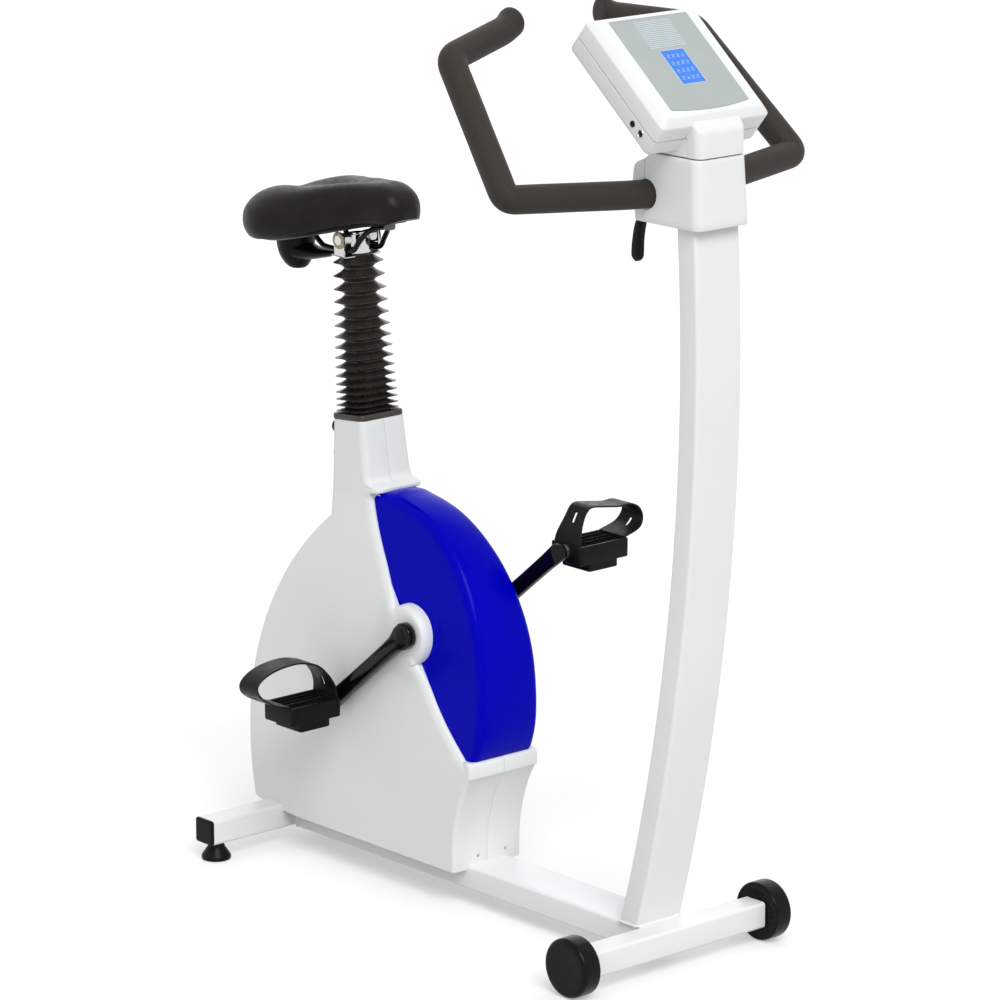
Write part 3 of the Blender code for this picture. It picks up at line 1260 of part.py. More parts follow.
def head_shells(scene):
    """Rear and front shell, split on a plane through the handlebar's hole."""
    for name, low_x, high_x in (("rear", HEAD_REAR - 0.01, SEAM_X - GAP / 2),
                                ("front", SEAM_X + GAP / 2, HEAD_FRONT + 0.01)):
        piece = scene.add("head_" + name, *head_slices(0.0, HEAD_Z0, HEAD_Z1), "white_plastic")
        cutter(scene, "cut_head_inside_" + name, head_slices(HEAD_WALL, HEAD_Z0 - 0.01,
                                                             HEAD_Z1 - HEAD_WALL), piece)
        keep = box((low_x, -0.06, HEAD_Z0 - 0.02), (high_x, 0.06, HEAD_Z1 + 0.02))
        cutter(scene, "keep_head_" + name, keep, piece, "INTERSECT")
        hole = prism(circle(FOAM_R + 0.0013, 24), "Y", -0.06, 0.06, (BAR_X, 0, BAR_Z))
        cutter(scene, "cut_bar_hole_" + name, hole, piece)
    pivot = prism(circle(PIVOT_R + 0.0008, 20), "Z", HEAD_Z1 - 0.02, HEAD_Z1 + 0.02,
                  (PIVOT_X, 0, 0))
    cutter(scene, "cut_pivot_hole", pivot, bpy.data.objects["head_front"])
    notch = box((HEAD_REAR - 0.004, LEVER_Y - LEVER_T / 2 - 0.0008, HEAD_Z0 - 0.004),
                (HEAD_REAR + 0.0070, LEVER_Y + LEVER_T / 2 + 0.0008, LEVER_Z + 0.0085))
    cutter(scene, "cut_lever_notch", notch, bpy.data.objects["head_rear"])


def head_core(scene):
    """Casting on the column's top: it seats the handlebar and carries the console's pivot."""
    rear_face = column_face(COLUMN_TOP)[0] - column_face(COLUMN_TOP)[1]
    low = (BAR_X + GAP, -CLAMP_HALF, BAR_Z - CORE_DROP)
    piece = scene.add("head_core", *box(low, (rear_face - GAP, CLAMP_HALF, CORE_TOP)), "iron", smooth=0)
    cap = box((BAR_X + 0.012, -CLAMP_HALF, COLUMN_TOP + GAP), (CORE_FRONT, CLAMP_HALF, CORE_TOP))
    cutter(scene, "add_core_cap", cap, piece, "UNION")
    spigot = prism(circle(PIVOT_R, 20), "Z", SPIGOT_LOW, SPIGOT_TOP, (PIVOT_X, 0, 0))
    cutter(scene, "add_core_spigot", spigot, piece, "UNION")
    bore = prism(circle(SPIGOT_BORE_R, 20), "Z", SPIGOT_LOW, SPIGOT_TOP + 0.004, (PIVOT_X, 0, 0))
    cutter(scene, "cut_core_bore", bore, piece)
    seat = prism(circle(BAR_R + GAP, 24), "Y", -0.05, 0.05, (BAR_X, 0, BAR_Z))
    cutter(scene, "cut_bar_seat", seat, piece)


def bar_clamp_cap(scene):
    """Rear half of the bar clamp, with the lever's pin on its right side."""
    block = box((BAR_X - 0.0165, -CLAMP_HALF, BAR_Z - 0.0320), (BAR_X - GAP, CLAMP_HALF, BAR_Z + 0.018))
    piece = scene.add("bar_clamp_cap", *block, "iron", smooth=0)
    seat = prism(circle(BAR_R + GAP, 24), "Y", -0.05, 0.05, (BAR_X, 0, BAR_Z))
    cutter(scene, "cut_cap_seat", seat, piece)
    pin = prism(circle(LEVER_PIN_R, 12), "Y", LEVER_Y - LEVER_T / 2, -CLAMP_HALF + 0.004,
                (LEVER_X, 0, LEVER_Z))
    cutter(scene, "add_lever_pin", pin, piece, "UNION")


def head_lever(scene):
    """Black lever that locks the handlebar's tilt; it hangs below the head's rear shell."""
    centre = Vector((LEVER_X, LEVER_Y, LEVER_Z))
    hub = bored_turned([(LEVER_PIN_R + SLIDE_GAP, -LEVER_T / 2), (0.0056, -LEVER_T / 2),
                        (0.0056, LEVER_T / 2), (LEVER_PIN_R + SLIDE_GAP, LEVER_T / 2)],
                       "Y", centre, 16)
    piece = scene.add("head_lever", *hub, "black_plastic", origin=centre)
    levels = ((-0.0035, -0.0012, 0.0040), (-0.012, -0.0060, 0.0052), (-0.030, -0.0095, 0.0056),
              (-0.046, -0.0105, 0.0062), (-0.0535, -0.0105, 0.0050), (-0.0560, -0.0105, 0.0030))
    rings = [place([(a * half / 0.01, b * LEVER_T / 0.02) for a, b in
                    rounded_rect(0.02, 0.02, 0.006, 2)],
                   centre + Vector((shift, 0, down)), (1, 0, 0), (0, 1, 0))
             for down, shift, half in levels]
    cutter(scene, "add_lever_arm", loft(rings), piece, "UNION")


def bar_path(side):
    """Centre line of one side of the handlebar, from the middle of the head to the grip's end."""
    def at(point):
        return (point[0], side * point[1], point[2])
    points = [(BAR_X, 0, BAR_Z), (BAR_X, side * ARM_BEND_Y, BAR_Z), at(ARM_CORNER), at(TOP_CORNER),
              at(BAR_END)]
    return bend_path(points, (0.020, CORNER_BEND, TOP_BEND), 4)


def handlebar(scene):
    """One bent tube, and a foam sleeve with a flared end on each side of the head."""
    centre = Vector((BAR_X, 0, BAR_Z))
    right = bar_path(-1)
    left = bar_path(1)
    short = 0.012
    for path in (right, left):
        back = (path[-2] - path[-1]).normalized()
        path[-1] = path[-1] + back * short
    whole = right[::-1] + left[1:]
    outer = sweep(whole, [BAR_R] * len(whole), BAR_SIDES, BAR_SIDE)
    bore = sweep(whole, [BAR_R - BAR_WALL] * len(whole), BAR_SIDES, BAR_SIDE)
    scene.add("handlebar", *loft(outer + bore[::-1], True), "steel", origin=centre)

    for side, name in ((-1, "right"), (1, "left")):
        path = bar_path(side)
        path[0] = Vector((BAR_X, side * FOAM_START, BAR_Z))
        end = path[-1]
        run = (end - path[-2]).normalized()
        path[-1:] = [end - run * 0.030, end - run * 0.018, end - run * 0.009, end - run * 0.002, end]
        radii = [FOAM_R] * len(path)
        radii[-5:] = [FOAM_R, FOAM_R * 1.03, FOAM_R * 1.13, FOAM_R * 1.10, FOAM_R * 0.80]
        lift = [0.0] * len(path)
        lift[-5:] = [0.0, 0.0006, 0.0025, 0.0035, 0.0035]
        outer = sweep(path, radii, BAR_SIDES, BAR_SIDE)
        outer = [[p + Vector((0, 0, up)) for p in ring] for ring, up in zip(outer, lift)]
        inner_path = bar_path(side)
        inner_path[0] = Vector((BAR_X, side * FOAM_START, BAR_Z))
        inner_path[-1] = end - run * (short - 0.001)
        bore = sweep(inner_path, [BAR_R + FOAM_GAP] * len(inner_path), BAR_SIDES, BAR_SIDE)
        scene.add("grip_" + name, *sleeve(outer, bore), "foam", origin=centre)


def sleeve(outer, bore):
    """A sleeve open at its first ring and closed at its last, from outer rings and bore rings."""
    count = len(outer[0])
    rings = outer[::-1] + bore
    points = [p for ring in rings for p in ring]
    faces = []
    for r in range(len(rings) - 1):
        low = r * count
        high = low + count
        for i in range(count):
            j = (i + 1) % count
            faces.append((low + i, low + j, high + j, high + i))
    faces.append(tuple(range(count)))
    faces.append(tuple(range((len(rings) - 1) * count, len(rings) * count)))
    return points, faces


def console_axes():
    """Origin at the middle of the top rear edge, down the face, across, and out of the face."""
    tilt = radians(CONSOLE_TILT)
    down = Vector((cos(tilt), 0, -sin(tilt)))
    out = Vector((sin(tilt), 0, cos(tilt)))
    return Vector((CONSOLE_TOP[0], 0, CONSOLE_TOP[1])), down, Vector((0, 1, 0)), out


def slab(levels, corner=0.005, steps=2):
    """A lofted block on the console's face; each level is depth, inset."""
    origin, down, across, out = console_axes()
    rings = []
    for depth, inset in levels:
        outline = rounded_rect(CONSOLE_L - 2 * inset, 2 * (CONSOLE_HALF - inset),
                               max(corner - inset * 0.3, 0.002), steps)
        middle = origin + down * (CONSOLE_L / 2) + out * depth
        rings.append(place(outline, middle, down, across))
    return loft(rings)


def skirt_block(x0, x1, inset, z0, z1):
    half = SKIRT_HALF - inset
    outline = rounded_rect(x1 - x0, 2 * half, 0.005, 2)
    return prism(outline, "Z", z0, z1, ((x0 + x1) / 2, 0, 0))


def console(scene):
    """Two shells, the grey panel, the display and two sockets on the right side."""
    origin, down, across, out = console_axes()
    wall = 0.0025
    pivot = (PIVOT_X, 0, SKIRT_Z)
    skirt_rear = HEAD_REAR + 0.006

    top = scene.add("console_front", *slab(((-CONSOLE_SEAM + GAP / 2, 0.0), (-0.001, 0.0),
                                            (0.0015, 0.0015), (CROWN * 0.80, CROWN_IN * 0.62),
                                            (CROWN, CROWN_IN))), "white_plastic", origin=pivot)
    cutter(scene, "cut_console_front_inside",
           slab(((-CONSOLE_SEAM - 0.005, wall), (-wall, wall),
                 (CROWN - wall - 0.001, CROWN_IN + 0.001))), top)
    nose = skirt_block(NOSE_REAR_X, HEAD_FRONT_TOP + 0.001, 0.0, SKIRT_Z, SKIRT_TOP)
    cutter(scene, "add_skirt_front", nose, top, "UNION")
    cutter(scene, "cut_skirt_front_seam",
           box((SKIRT_SEAM_X - 0.030, -0.06, SKIRT_Z - 0.01),
               (SKIRT_SEAM_X + GAP / 2, 0.06, 0.9955)), top)
    cutter(scene, "cut_skirt_front_inside",
           skirt_block(SKIRT_SEAM_X - 0.02, HEAD_FRONT_TOP - wall, wall, SKIRT_Z - 0.002,
                       SKIRT_TOP - wall - 0.006), top)
    panel = panel_outline(GAP)
    rings = [place(panel, origin + out * (CROWN + at), down, across) for at in (-PANEL_T, 0.003)]
    cutter(scene, "cut_panel_seat", loft(rings), top)

    bottom = scene.add("console_rear", *slab(((-CONSOLE_DEPTH, 0.004), (-CONSOLE_DEPTH + 0.003, 0.0008),
                                              (-CONSOLE_DEPTH + 0.006, 0.0),
                                              (-CONSOLE_SEAM - GAP / 2, 0.0))),
                       "white_plastic", origin=pivot)
    block = skirt_block(skirt_rear, HEAD_FRONT_TOP, 0.0, SKIRT_Z, SKIRT_TOP - 0.004)
    cutter(scene, "add_skirt_rear", block, bottom, "UNION")
    cutter(scene, "cut_console_rear_inside",
           slab(((-CONSOLE_DEPTH + wall, wall), (-CONSOLE_SEAM + 0.004, wall))), bottom)
    rest = slab(((-CONSOLE_SEAM - GAP / 2, -0.03), (0.03, -0.03)))
    cutter(scene, "cut_console_rear_top", rest, bottom)
    cutter(scene, "cut_skirt_rear_seam",
           box((SKIRT_SEAM_X - GAP / 2, -0.06, SKIRT_Z - 0.01), (0.52, 0.06, SKIRT_TOP + 0.01)), bottom)
    bore = prism(circle(PIVOT_R + SLIDE_GAP, 20), "Z", SKIRT_Z - 0.01, 1.02, (PIVOT_X, 0, 0))
    cutter(scene, "cut_pivot_socket", bore, bottom)

    rings = [place(panel_outline(0.0), origin + out * (CROWN + at), down, across)
             for at in (-PANEL_T + GAP, 0.0004)]
    face = scene.add("console_panel", *loft(rings), "grey_panel", origin=pivot)
    length = LCD_U[1] - LCD_U[0]
    window = rounded_rect(length, 2 * LCD_HALF, 0.001, 1)
    middle = origin + down * (sum(LCD_U) / 2)
    grown = rounded_rect(length + 2 * GAP, 2 * (LCD_HALF + GAP), 0.001, 1)
    cutter(scene, "cut_display_window",
           loft([place(grown, middle + out * (CROWN + at), down, across) for at in (-0.004, 0.004)]), face)
    glass = loft([place(window, middle + out * (CROWN + at), down, across)
                  for at in (-PANEL_T + GAP, 0.0003)])
    scene.add("display", *glass, "display", origin=pivot)

    for name, (x, z), radius in (("small", SMALL_JACK, 0.0030), ("large", LARGE_JACK, 0.0050)):
        spot = Vector((x, -CONSOLE_HALF, z))
        profile = [(radius * 0.52, -0.0008), (radius, -0.0008), (radius, wall + 0.004),
                   (radius * 0.52, wall + 0.004)]
        shape = bored_turned(profile, "Y", spot, 12)
        scene.add("jack_" + name, *shape, "black_plastic" if name == "small" else "chrome",
                  origin=pivot)
        hole = prism(circle(radius + GAP, 12), "Y", -0.003, wall + 0.004, spot)
        cutter(scene, "cut_jack_hole_" + name, hole, bottom)


def panel_outline(grow):
    """The grey panel with its bowed lower edge, down the face and across."""
    low, high = PANEL_U[0] - grow, PANEL_U[1] + grow
    half = PANEL_HALF + grow
    points = [(low, half), (low, -half), (high - 0.0055, -half)]
    for step in range(1, 8):
        share = step / 8
        points.append((high - 0.0055 * (2 * share - 1) ** 2, -half + 2 * half * share))
    points.append((high - 0.0055, half))
    return points


def build():
    for old in list(bpy.data.objects):
        bpy.data.objects.remove(old)
    scene = Scene()
    base_beam(scene)
    cross_tubes(scene)
    rear_caps(scene)
    wheels(scene)
    levelling_feet(scene)
    column(scene)
    crank_bracket(scene)
    crank_cartridge(scene)
    crank_spindle(scene)
    crank_pulley(scene)
    crank_arms(scene)
    pedals(scene)
    flywheel(scene)
    flywheel_carrier(scene)
    brake_magnet(scene)
    drive_belt(scene)
    seat_tube(scene)
    seat_post(scene)
    bellows(scene)
    seat_lever(scene)
    housing(scene)
    housing_screws(scene)
    front_cover(scene)
    mains_parts(scene)
    saddle(scene)
    saddle_under(scene)
    rail_bracket(scene)
    saddle_clamp(scene)
    head_shells(scene)
    head_core(scene)
    bar_clamp_cap(scene)
    head_lever(scene)
    handlebar(scene)
    console(scene)


build()
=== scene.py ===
"""Looks of the bicycle ergometer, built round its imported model."""
import json
from math import acos, copysign, cos, pi, radians, sin, sqrt, tan

import bmesh
import bpy
import numpy as np
from mathutils import Matrix, Vector

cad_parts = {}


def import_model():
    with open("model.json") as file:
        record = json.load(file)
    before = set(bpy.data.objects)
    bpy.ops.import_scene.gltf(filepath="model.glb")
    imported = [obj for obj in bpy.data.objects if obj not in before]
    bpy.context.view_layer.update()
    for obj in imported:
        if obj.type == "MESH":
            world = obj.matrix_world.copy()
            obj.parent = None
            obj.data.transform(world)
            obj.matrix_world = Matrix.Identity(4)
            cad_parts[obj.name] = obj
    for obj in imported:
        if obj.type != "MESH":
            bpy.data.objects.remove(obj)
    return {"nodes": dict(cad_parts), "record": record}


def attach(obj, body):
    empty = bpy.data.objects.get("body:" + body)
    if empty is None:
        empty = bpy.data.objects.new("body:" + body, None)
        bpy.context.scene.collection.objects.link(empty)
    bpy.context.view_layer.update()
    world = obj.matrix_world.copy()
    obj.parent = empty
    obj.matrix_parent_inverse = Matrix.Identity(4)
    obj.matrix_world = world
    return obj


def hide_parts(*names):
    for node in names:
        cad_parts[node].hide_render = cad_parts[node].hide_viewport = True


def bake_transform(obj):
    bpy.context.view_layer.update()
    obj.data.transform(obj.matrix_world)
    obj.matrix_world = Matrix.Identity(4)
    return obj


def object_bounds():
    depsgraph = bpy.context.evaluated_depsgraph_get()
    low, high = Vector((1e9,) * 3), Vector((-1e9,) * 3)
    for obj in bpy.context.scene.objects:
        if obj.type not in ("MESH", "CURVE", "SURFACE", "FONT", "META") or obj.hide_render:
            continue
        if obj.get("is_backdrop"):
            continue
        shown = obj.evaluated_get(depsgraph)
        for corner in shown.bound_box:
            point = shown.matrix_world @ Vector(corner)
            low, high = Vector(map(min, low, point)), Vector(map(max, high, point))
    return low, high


# Everything is laid out from the crank axis; the frame's origin lies this far ahead of it
SHIFT = -0.0806

# Base
BEAM_W = 0.066
BEAM_H = 0.0305
BEAM_Z = 0.0358
CROSS_D = 0.034
CROSS_H = 0.032
FRONT_X = 0.402
FRONT_Z = 0.0356
FRONT_HALF = 0.140
REAR_X = -0.2687
REAR_Z = 0.0387
REAR_HALF = 0.1676
CAP_T = 0.0035
TUBE_CORNER = 0.004
GAP = 0.0003             # between pieces that touch
WHEEL_R = 0.0356
WHEEL_IN = 0.1415
WHEEL_OUT = 0.1675
FOOT_Y = 0.148
FOOT_R = 0.0185
BEAM_TOP = BEAM_Z + BEAM_H / 2

# Column
COLUMN_W = 0.070
COLUMN_D = 0.030
COLUMN_R = 2.46
COLUMN_FRONT_X = 0.4748
COLUMN_FRONT_Z = 0.717
COLUMN_TOP = 0.950

# Cranks and pedals
CRANK_Z = 0.330
CRANK_LENGTH = 0.170
CRANK_ANGLE = 39.1
ARM_IN = 0.0600
ARM_T = 0.0115
ARM_BOSS_R = 0.0165
ARM_END_R = 0.0115
ARM_HALF = 0.0095
PEDAL_Y = 0.1175
PEDAL_L = 0.054
PEDAL_W = 0.079
PEDAL_H = 0.0235
PEDAL_TOP = PEDAL_H / 2 - 0.003
WEIGHT_L = 0.050
WEIGHT_W = 0.047
WEIGHT_H = 0.0100
STRAP_W = 0.046
STRAP_TOP_W = 0.033
STRAP_T = 0.0022
STRAP_LINE = {
    "right": ((-0.0365, 0.0), (-0.0350, 0.014), (-0.0270, 0.029), (-0.0130, 0.0425), (0.006, 0.0495),
              (0.025, 0.0520), (0.050, 0.0500), (0.069, 0.0445), (0.081, 0.0365), (0.0835, 0.028),
              (0.077, 0.018), (0.060, 0.0075), (0.036, 0.0)),
    "left": ((-0.0365, 0.0), (-0.0330, 0.013), (-0.0265, 0.0270), (-0.0190, 0.0390), (-0.010, 0.0435),
             (0.010, 0.0410), (0.034, 0.0375), (0.052, 0.0375), (0.066, 0.0305), (0.0695, 0.0190),
             (0.061, 0.0075), (0.036, 0.0))}
STRAP_TAIL = {"right": ((0.040, 0.0495), (0.060, 0.0465), (0.082, 0.0420), (0.106, 0.0380)),
              "left": ((0.022, 0.0385), (0.040, 0.0370), (0.058, 0.0360), (0.072, 0.0290))}
STRAP_SLOTS = {"right": (((-0.0325, 0.018), -22), ((0.0700, 0.0125), -55)),
               "left": (((-0.0245, 0.0300), -30), ((0.0640, 0.0100), -48))}

# Housing
REAR_ARC_X = 0.072
REAR_ARC_Z = 0.138
REAR_ARC_R = 0.392
INLET_Y = 0.0235
INLET_Z = 0.092
NECK_REAR_X = -0.1715
NECK_FOOT_Z = 0.4475
EDGE_R = 0.009
SHELF_ROUND = 0.003     # the shelf over the cover is this much rounder at its corners
SHELF_BACK_Z = 0.4910   # from here up the extra rounding fades
FOOT_EDGE_R = 0.005
FOOT_EDGE_X = 0.0965    # the side's front edge below the cover
STRIP = 0.0095          # the edge lies this far behind the front line where there is no cover
CORE_DEEP = 0.009       # the housing under the cover lies this far below its side
CORE_BACK = 0.014       # and this far behind the cover's front
CORE_BACK_TOP = 0.024   # and this much further behind it near the top
BOSS_Y = 0.0586
BOSS_REACH = 0.070      # the side swells towards the crank from this far
HOLLOW_R = 0.0385       # inside this the side dips under the boss
RIM_R = 0.0378
RIM_X = -0.0090
RIM_Z = 0.3272
SEAT_X = -0.1433
SEAT_Z = 0.568
SEAT_LEAN = 4.95
HOUSING_LOW = 0.0455
LIP_Z = (0.182, 0.474)  # the lip along the cover's edge starts and ends at these heights
LIP_FADE = 0.010
TAIL_LOW = ((-0.340, 0.0610), (-0.285, 0.0510), (-0.255, 0.0470), (-0.2175, 0.0455), (0.2, 0.0455))
COVER_LOW = 0.190
COVER_HIGH = 0.4852
COVER_STEP = 0.0068     # the cover's sides lie this far below the housing's
COVER_CROWN = 0.0050    # the cover's front is this much higher along its middle
COVER_R = 0.009
COVER_SLICES = 84
COVER_TURN = 76.0       # the slices lean back by this much towards the top
COVER_TURN_Z = 0.285    # from this height on
COVER_DEEP = 0.22       # no slice reaches further back than this
EDGE_GAP = 0.0006       # between the cover and the housing's edge
FINE_STEP = 0.0002
HALF_TABLE = ((0.045, 0.0545), (0.190, 0.0550), (0.270, 0.0535), (0.340, 0.0505), (0.410, 0.0450),
              (0.470, 0.0388), (0.490, 0.0376), (0.580, 0.0347))
FRONT_FOOT = ((0.0455, 0.078), (0.080, 0.0785), (0.107, 0.082), (0.135, 0.090), (0.155, 0.0985))
FRONT_LEDGE = ((0.163, 0.1030), (0.168, 0.1060), (0.1690, 0.1068), (0.1692, 0.1080), (0.1697, 0.1090),
               (0.1706, 0.1095), (0.1722, 0.1098), (0.178, 0.1099), (0.184, 0.1097), (0.1868, 0.1092),
               (0.1885, 0.1083), (0.1895, 0.1072), (0.1900, 0.1058))
FRONT_DOME = ((0.1901, 0.1057), (0.196, 0.1095), (0.214, 0.1152), (0.233, 0.1186), (0.252, 0.1197),
              (0.270, 0.1196), (0.288, 0.1186), (0.305, 0.1168), (0.322, 0.1138), (0.339, 0.1093),
              (0.356, 0.1035), (0.372, 0.0966), (0.388, 0.0882), (0.404, 0.0780), (0.419, 0.0665),
              (0.434, 0.0520), (0.4485, 0.0352), (0.4610, 0.0165), (0.4700, -0.0020), (0.4758, -0.0190),
              (0.4798, -0.0360), (0.4826, -0.0520), (0.4852, -0.0655))
SHELF = ((0.4854, -0.0865), (0.4858, -0.0838), (0.4866, -0.0818), (0.4885, -0.0811), (0.4912, -0.0814),
         (0.4924, -0.0828), (0.4934, -0.0868), (0.4943, -0.0925), (0.4954, -0.0965), (0.4972, -0.0995),
         (0.5000, -0.1013))
FRONT_NECK = ((0.5020, -0.1022), (0.530, -0.1072), (0.590, -0.1158))
UNDER_SHELF = ((-0.080, 0.4848), (-0.098, 0.4850))
EDGE_LOWER = ((0.190, 0.0940), (0.2170, 0.0665), (0.2425, 0.0448), (0.2685, 0.0268))
EDGE_UPPER = ((0.3800, -0.0520), (0.4030, -0.0624), (0.4300, -0.0765), (0.4580, -0.0890),
              (0.4800, -0.0962), (0.4830, -0.0962), (0.4853, -0.0940))

# Bellows
RIBS = 16
BELLOWS_LENGTH = 0.2025
RIB_END = 0.2015
FLANGE_T = 0.0075
FLANGE_HALF = (0.0296, 0.0358)
FLANGE_CORNER = 0.010
RIB_HALF_LOW = (0.0272, 0.0340)     # half sizes over the lowest rib
RIB_HALF_HIGH = 0.0304              # radius over the highest rib
RIB_DEEP_LOW = (0.0095, 0.0115)     # depth of the folds below
RIB_DEEP_HIGH = 0.0132              # and above
RIB_DROOP = 0.0011
RIB_SHARES = (0.0, 0.06, 0.14, 0.24, 0.33, 0.40, 0.45, 0.475, 0.49, 0.50, 0.51, 0.525, 0.55, 0.60, 0.67,
              0.76, 0.86, 0.94)
SLEEVE_BORE = 0.0148
POST_TOP = 0.205
HINGE_RISE = 0.016      # the saddle tilts this far above the post's top
SEAT_LEVER_Z = 0.546
SEAT_LEVER_OUT = 0.0283

# Saddle
SADDLE_X = -0.0590
SADDLE_LENGTH = 0.241
SADDLE_HALF = 0.100
SADDLE_TIP_IN = 0.0045  # the padded cover starts this far behind the tip of the solid
SADDLE_TAIL_IN = 0.0030
SADDLE_TOP = ((0.0, 0.824), (0.03, 0.832), (0.08, 0.838), (0.20, 0.8435), (0.40, 0.8480), (0.60, 0.8580),
              (0.80, 0.8650), (0.88, 0.8640), (0.94, 0.8580), (0.98, 0.8490), (1.0, 0.841))
SADDLE_LOW = ((0.0, 0.797), (0.08, 0.7885), (0.25, 0.787), (0.45, 0.7960), (0.62, 0.8075), (0.80, 0.8165),
              (0.94, 0.8195), (1.0, 0.825))
SADDLE_WIDTH = ((0.0, 0.052), (0.04, 0.078), (0.10, 0.096), (0.20, 0.1075), (0.30, 0.1080),
                (0.42, 0.0960), (0.55, 0.0720), (0.68, 0.0500), (0.80, 0.0380), (0.92, 0.0320),
                (0.97, 0.0255), (1.0, 0.0140))
WIDTH_TABLE_MOST = 0.108
RAIL_R = 0.0033
RAIL_Y = 0.0215
BRACKET_Z = 0.7673
BRACKET_T = 0.0045
EAR_OUT = 0.0286
EAR_R = 0.0098
BUMPER_X = -0.1006

# Head and handlebar
HEAD_REAR = 0.3725
HEAD_FRONT = 0.4812
HEAD_FRONT_TOP = 0.4765
HEAD_HALF = 0.0420
HEAD_HALF_TOP = 0.0398
HEAD_REAR_R = 0.004
HEAD_FRONT_R = 0.012
HEAD_Z0 = 0.8930
HEAD_Z1 = 0.9725
PIVOT_X = 0.4250        # the console turns on a stub here
PIVOT_R = 0.0150
SEAM_X = 0.3920
LEVER_X = 0.3795
LEVER_Y = -0.0285
LEVER_Z = 0.8990
LEVER_T = 0.0120
BAR_X = 0.395
BAR_Z = 0.925
FOAM_R = 0.0165
FOAM_START = 0.0245
ARM_BEND_Y = 0.046
ARM_CORNER = (0.364, 0.2240, 0.9365)
TOP_CORNER = (0.2280, 0.1875, 1.0744)
BAR_END = (0.2000, 0.0705, 1.0955)
BEND_CUTS = (0.030, 0.0135, 0.0140)     # tangent lengths of the three bends

# Console
CONSOLE_TOP = (0.3378, 1.1177)
CONSOLE_TILT = 39.8
CONSOLE_L = 0.1666
CONSOLE_HALF = 0.083
CONSOLE_SEAM = 0.0213
CONSOLE_DEPTH = 0.0430
CROWN = 0.0078
CROWN_IN = 0.0095
PANEL_U = (0.0117, 0.1520)
PANEL_HALF = 0.0597
PANEL_BOW = 0.0055
LCD_U = (0.0631, 0.1133)
LCD_HALF = 0.0173
SKIRT_Z = 0.9742
SKIRT_TOP = 1.0080
SKIRT_HALF = 0.0368
SKIRT_SEAM_X = 0.4580
SKIRT_SEAM_Z = 0.9950
NOSE_DROP = 0.0068       # the nose's top lies this far below the face
NOSE_REAR_X = 0.4480
SMALL_JACK = (0.4175, 1.0125)
LARGE_JACK = (0.4305, 1.0030)

# Camera and light
VIEW_AZIMUTH = 48.53
VIEW_ELEVATION = 14.15
VIEW_DISTANCE = 5.8863
VIEW_TARGET = (0.101, 0.0, 0.5079)
VIEW_LENS = 177.506
SKY = 0.63
KEY_FROM = (0.62, -0.30, 0.72)
KEY_LEVEL = 0.63
FILL_FROM = (-0.50, 0.60, 0.50)
FILL_LEVEL = 0.14
FLOOR_COLOUR = 0.62
FLOOR_LIFT = 0.37
FLOOR_HALF = 30.0
FLOOR_Z = -0.0004


# Shape helpers

def smooth_line(points, steps):
    """Catmull-Rom curve through a list of 2D or 3D points."""
    line = [Vector(p) for p in points]
    ends = [line[0] * 2 - line[1], *line, line[-1] * 2 - line[-2]]
    out = []
    for i in range(1, len(ends) - 2):
        before, here, after, beyond = ends[i - 1:i + 3]
        for step in range(steps):
            t = step / steps
            out.append(0.5 * ((2 * here) + (after - before) * t
                              + (2 * before - 5 * here + 4 * after - beyond) * t ** 2
                              + (3 * here - before - 3 * after + beyond) * t ** 3))
    out.append(line[-1])
    return out


class Curve:
    """Smooth value table that rises in its first column."""

    def __init__(self, *tables):
        self.at = []
        self.value = []
        for table, steps in tables:
            for p in smooth_line(table, steps):
                if not self.at or p.x > self.at[-1] + 1e-7:
                    self.at.append(p.x)
                    self.value.append(p.y)

    def __call__(self, at):
        return float(np.interp(at, self.at, self.value))


def ease(t):
    t = min(max(t, 0.0), 1.0)
    return t * t * (3 - 2 * t)


def mix(a, b, t):
    return a + (b - a) * t


def rounded_rect(width, height, corner, steps=6):
    """Points around a rectangle with round corners, anticlockwise."""
    points = []
    for quarter, (sx, sy) in enumerate(((1, 1), (-1, 1), (-1, -1), (1, -1))):
        cx = sx * (width / 2 - corner)
        cy = sy * (height / 2 - corner)
        for step in range(steps + 1):
            angle = (quarter + step / steps) * pi / 2
            points.append((cx + corner * cos(angle), cy + corner * sin(angle)))
    return points


def quarter(x, y, reach_x, reach_y, steps):
    """Points on a quarter circle, or on its mirror image, from straight off in y to straight off in x."""
    angles = [step / steps * pi / 2 for step in range(steps + 1)]
    return [(x + reach_x * sin(a), y + reach_y * cos(a)) for a in angles]


def circle(radius, sides, turn=0.0):
    return [(radius * cos(turn + 2 * pi * i / sides), radius * sin(turn + 2 * pi * i / sides))
            for i in range(sides)]


def bend_path(points, radii, steps=12):
    """A polyline whose inner corners are replaced by arcs of the given tangent length."""
    path = [Vector(points[0])]
    for before, corner, after, cut in zip(points, points[1:], points[2:], radii):
        corner = Vector(corner)
        start = corner + (Vector(before) - corner).normalized() * cut
        end = corner + (Vector(after) - corner).normalized() * cut
        for step in range(steps + 1):
            t = step / steps
            path.append(start * (1 - t) ** 2 + corner * 2 * t * (1 - t) + end * t ** 2)
    path.append(Vector(points[-1]))
    return path


def place(outline, origin, u, v):
    """2D points carried to 3D on two directions from an origin."""
    origin, u, v = Vector(origin), Vector(u), Vector(v)
    return [origin + u * a + v * b for a, b in outline]


AXES = {"X": ((0, 1, 0), (0, 0, 1), (1, 0, 0)),
        "Y": ((1, 0, 0), (0, 0, 1), (0, 1, 0)),
        "Z": ((1, 0, 0), (0, 1, 0), (0, 0, 1))}


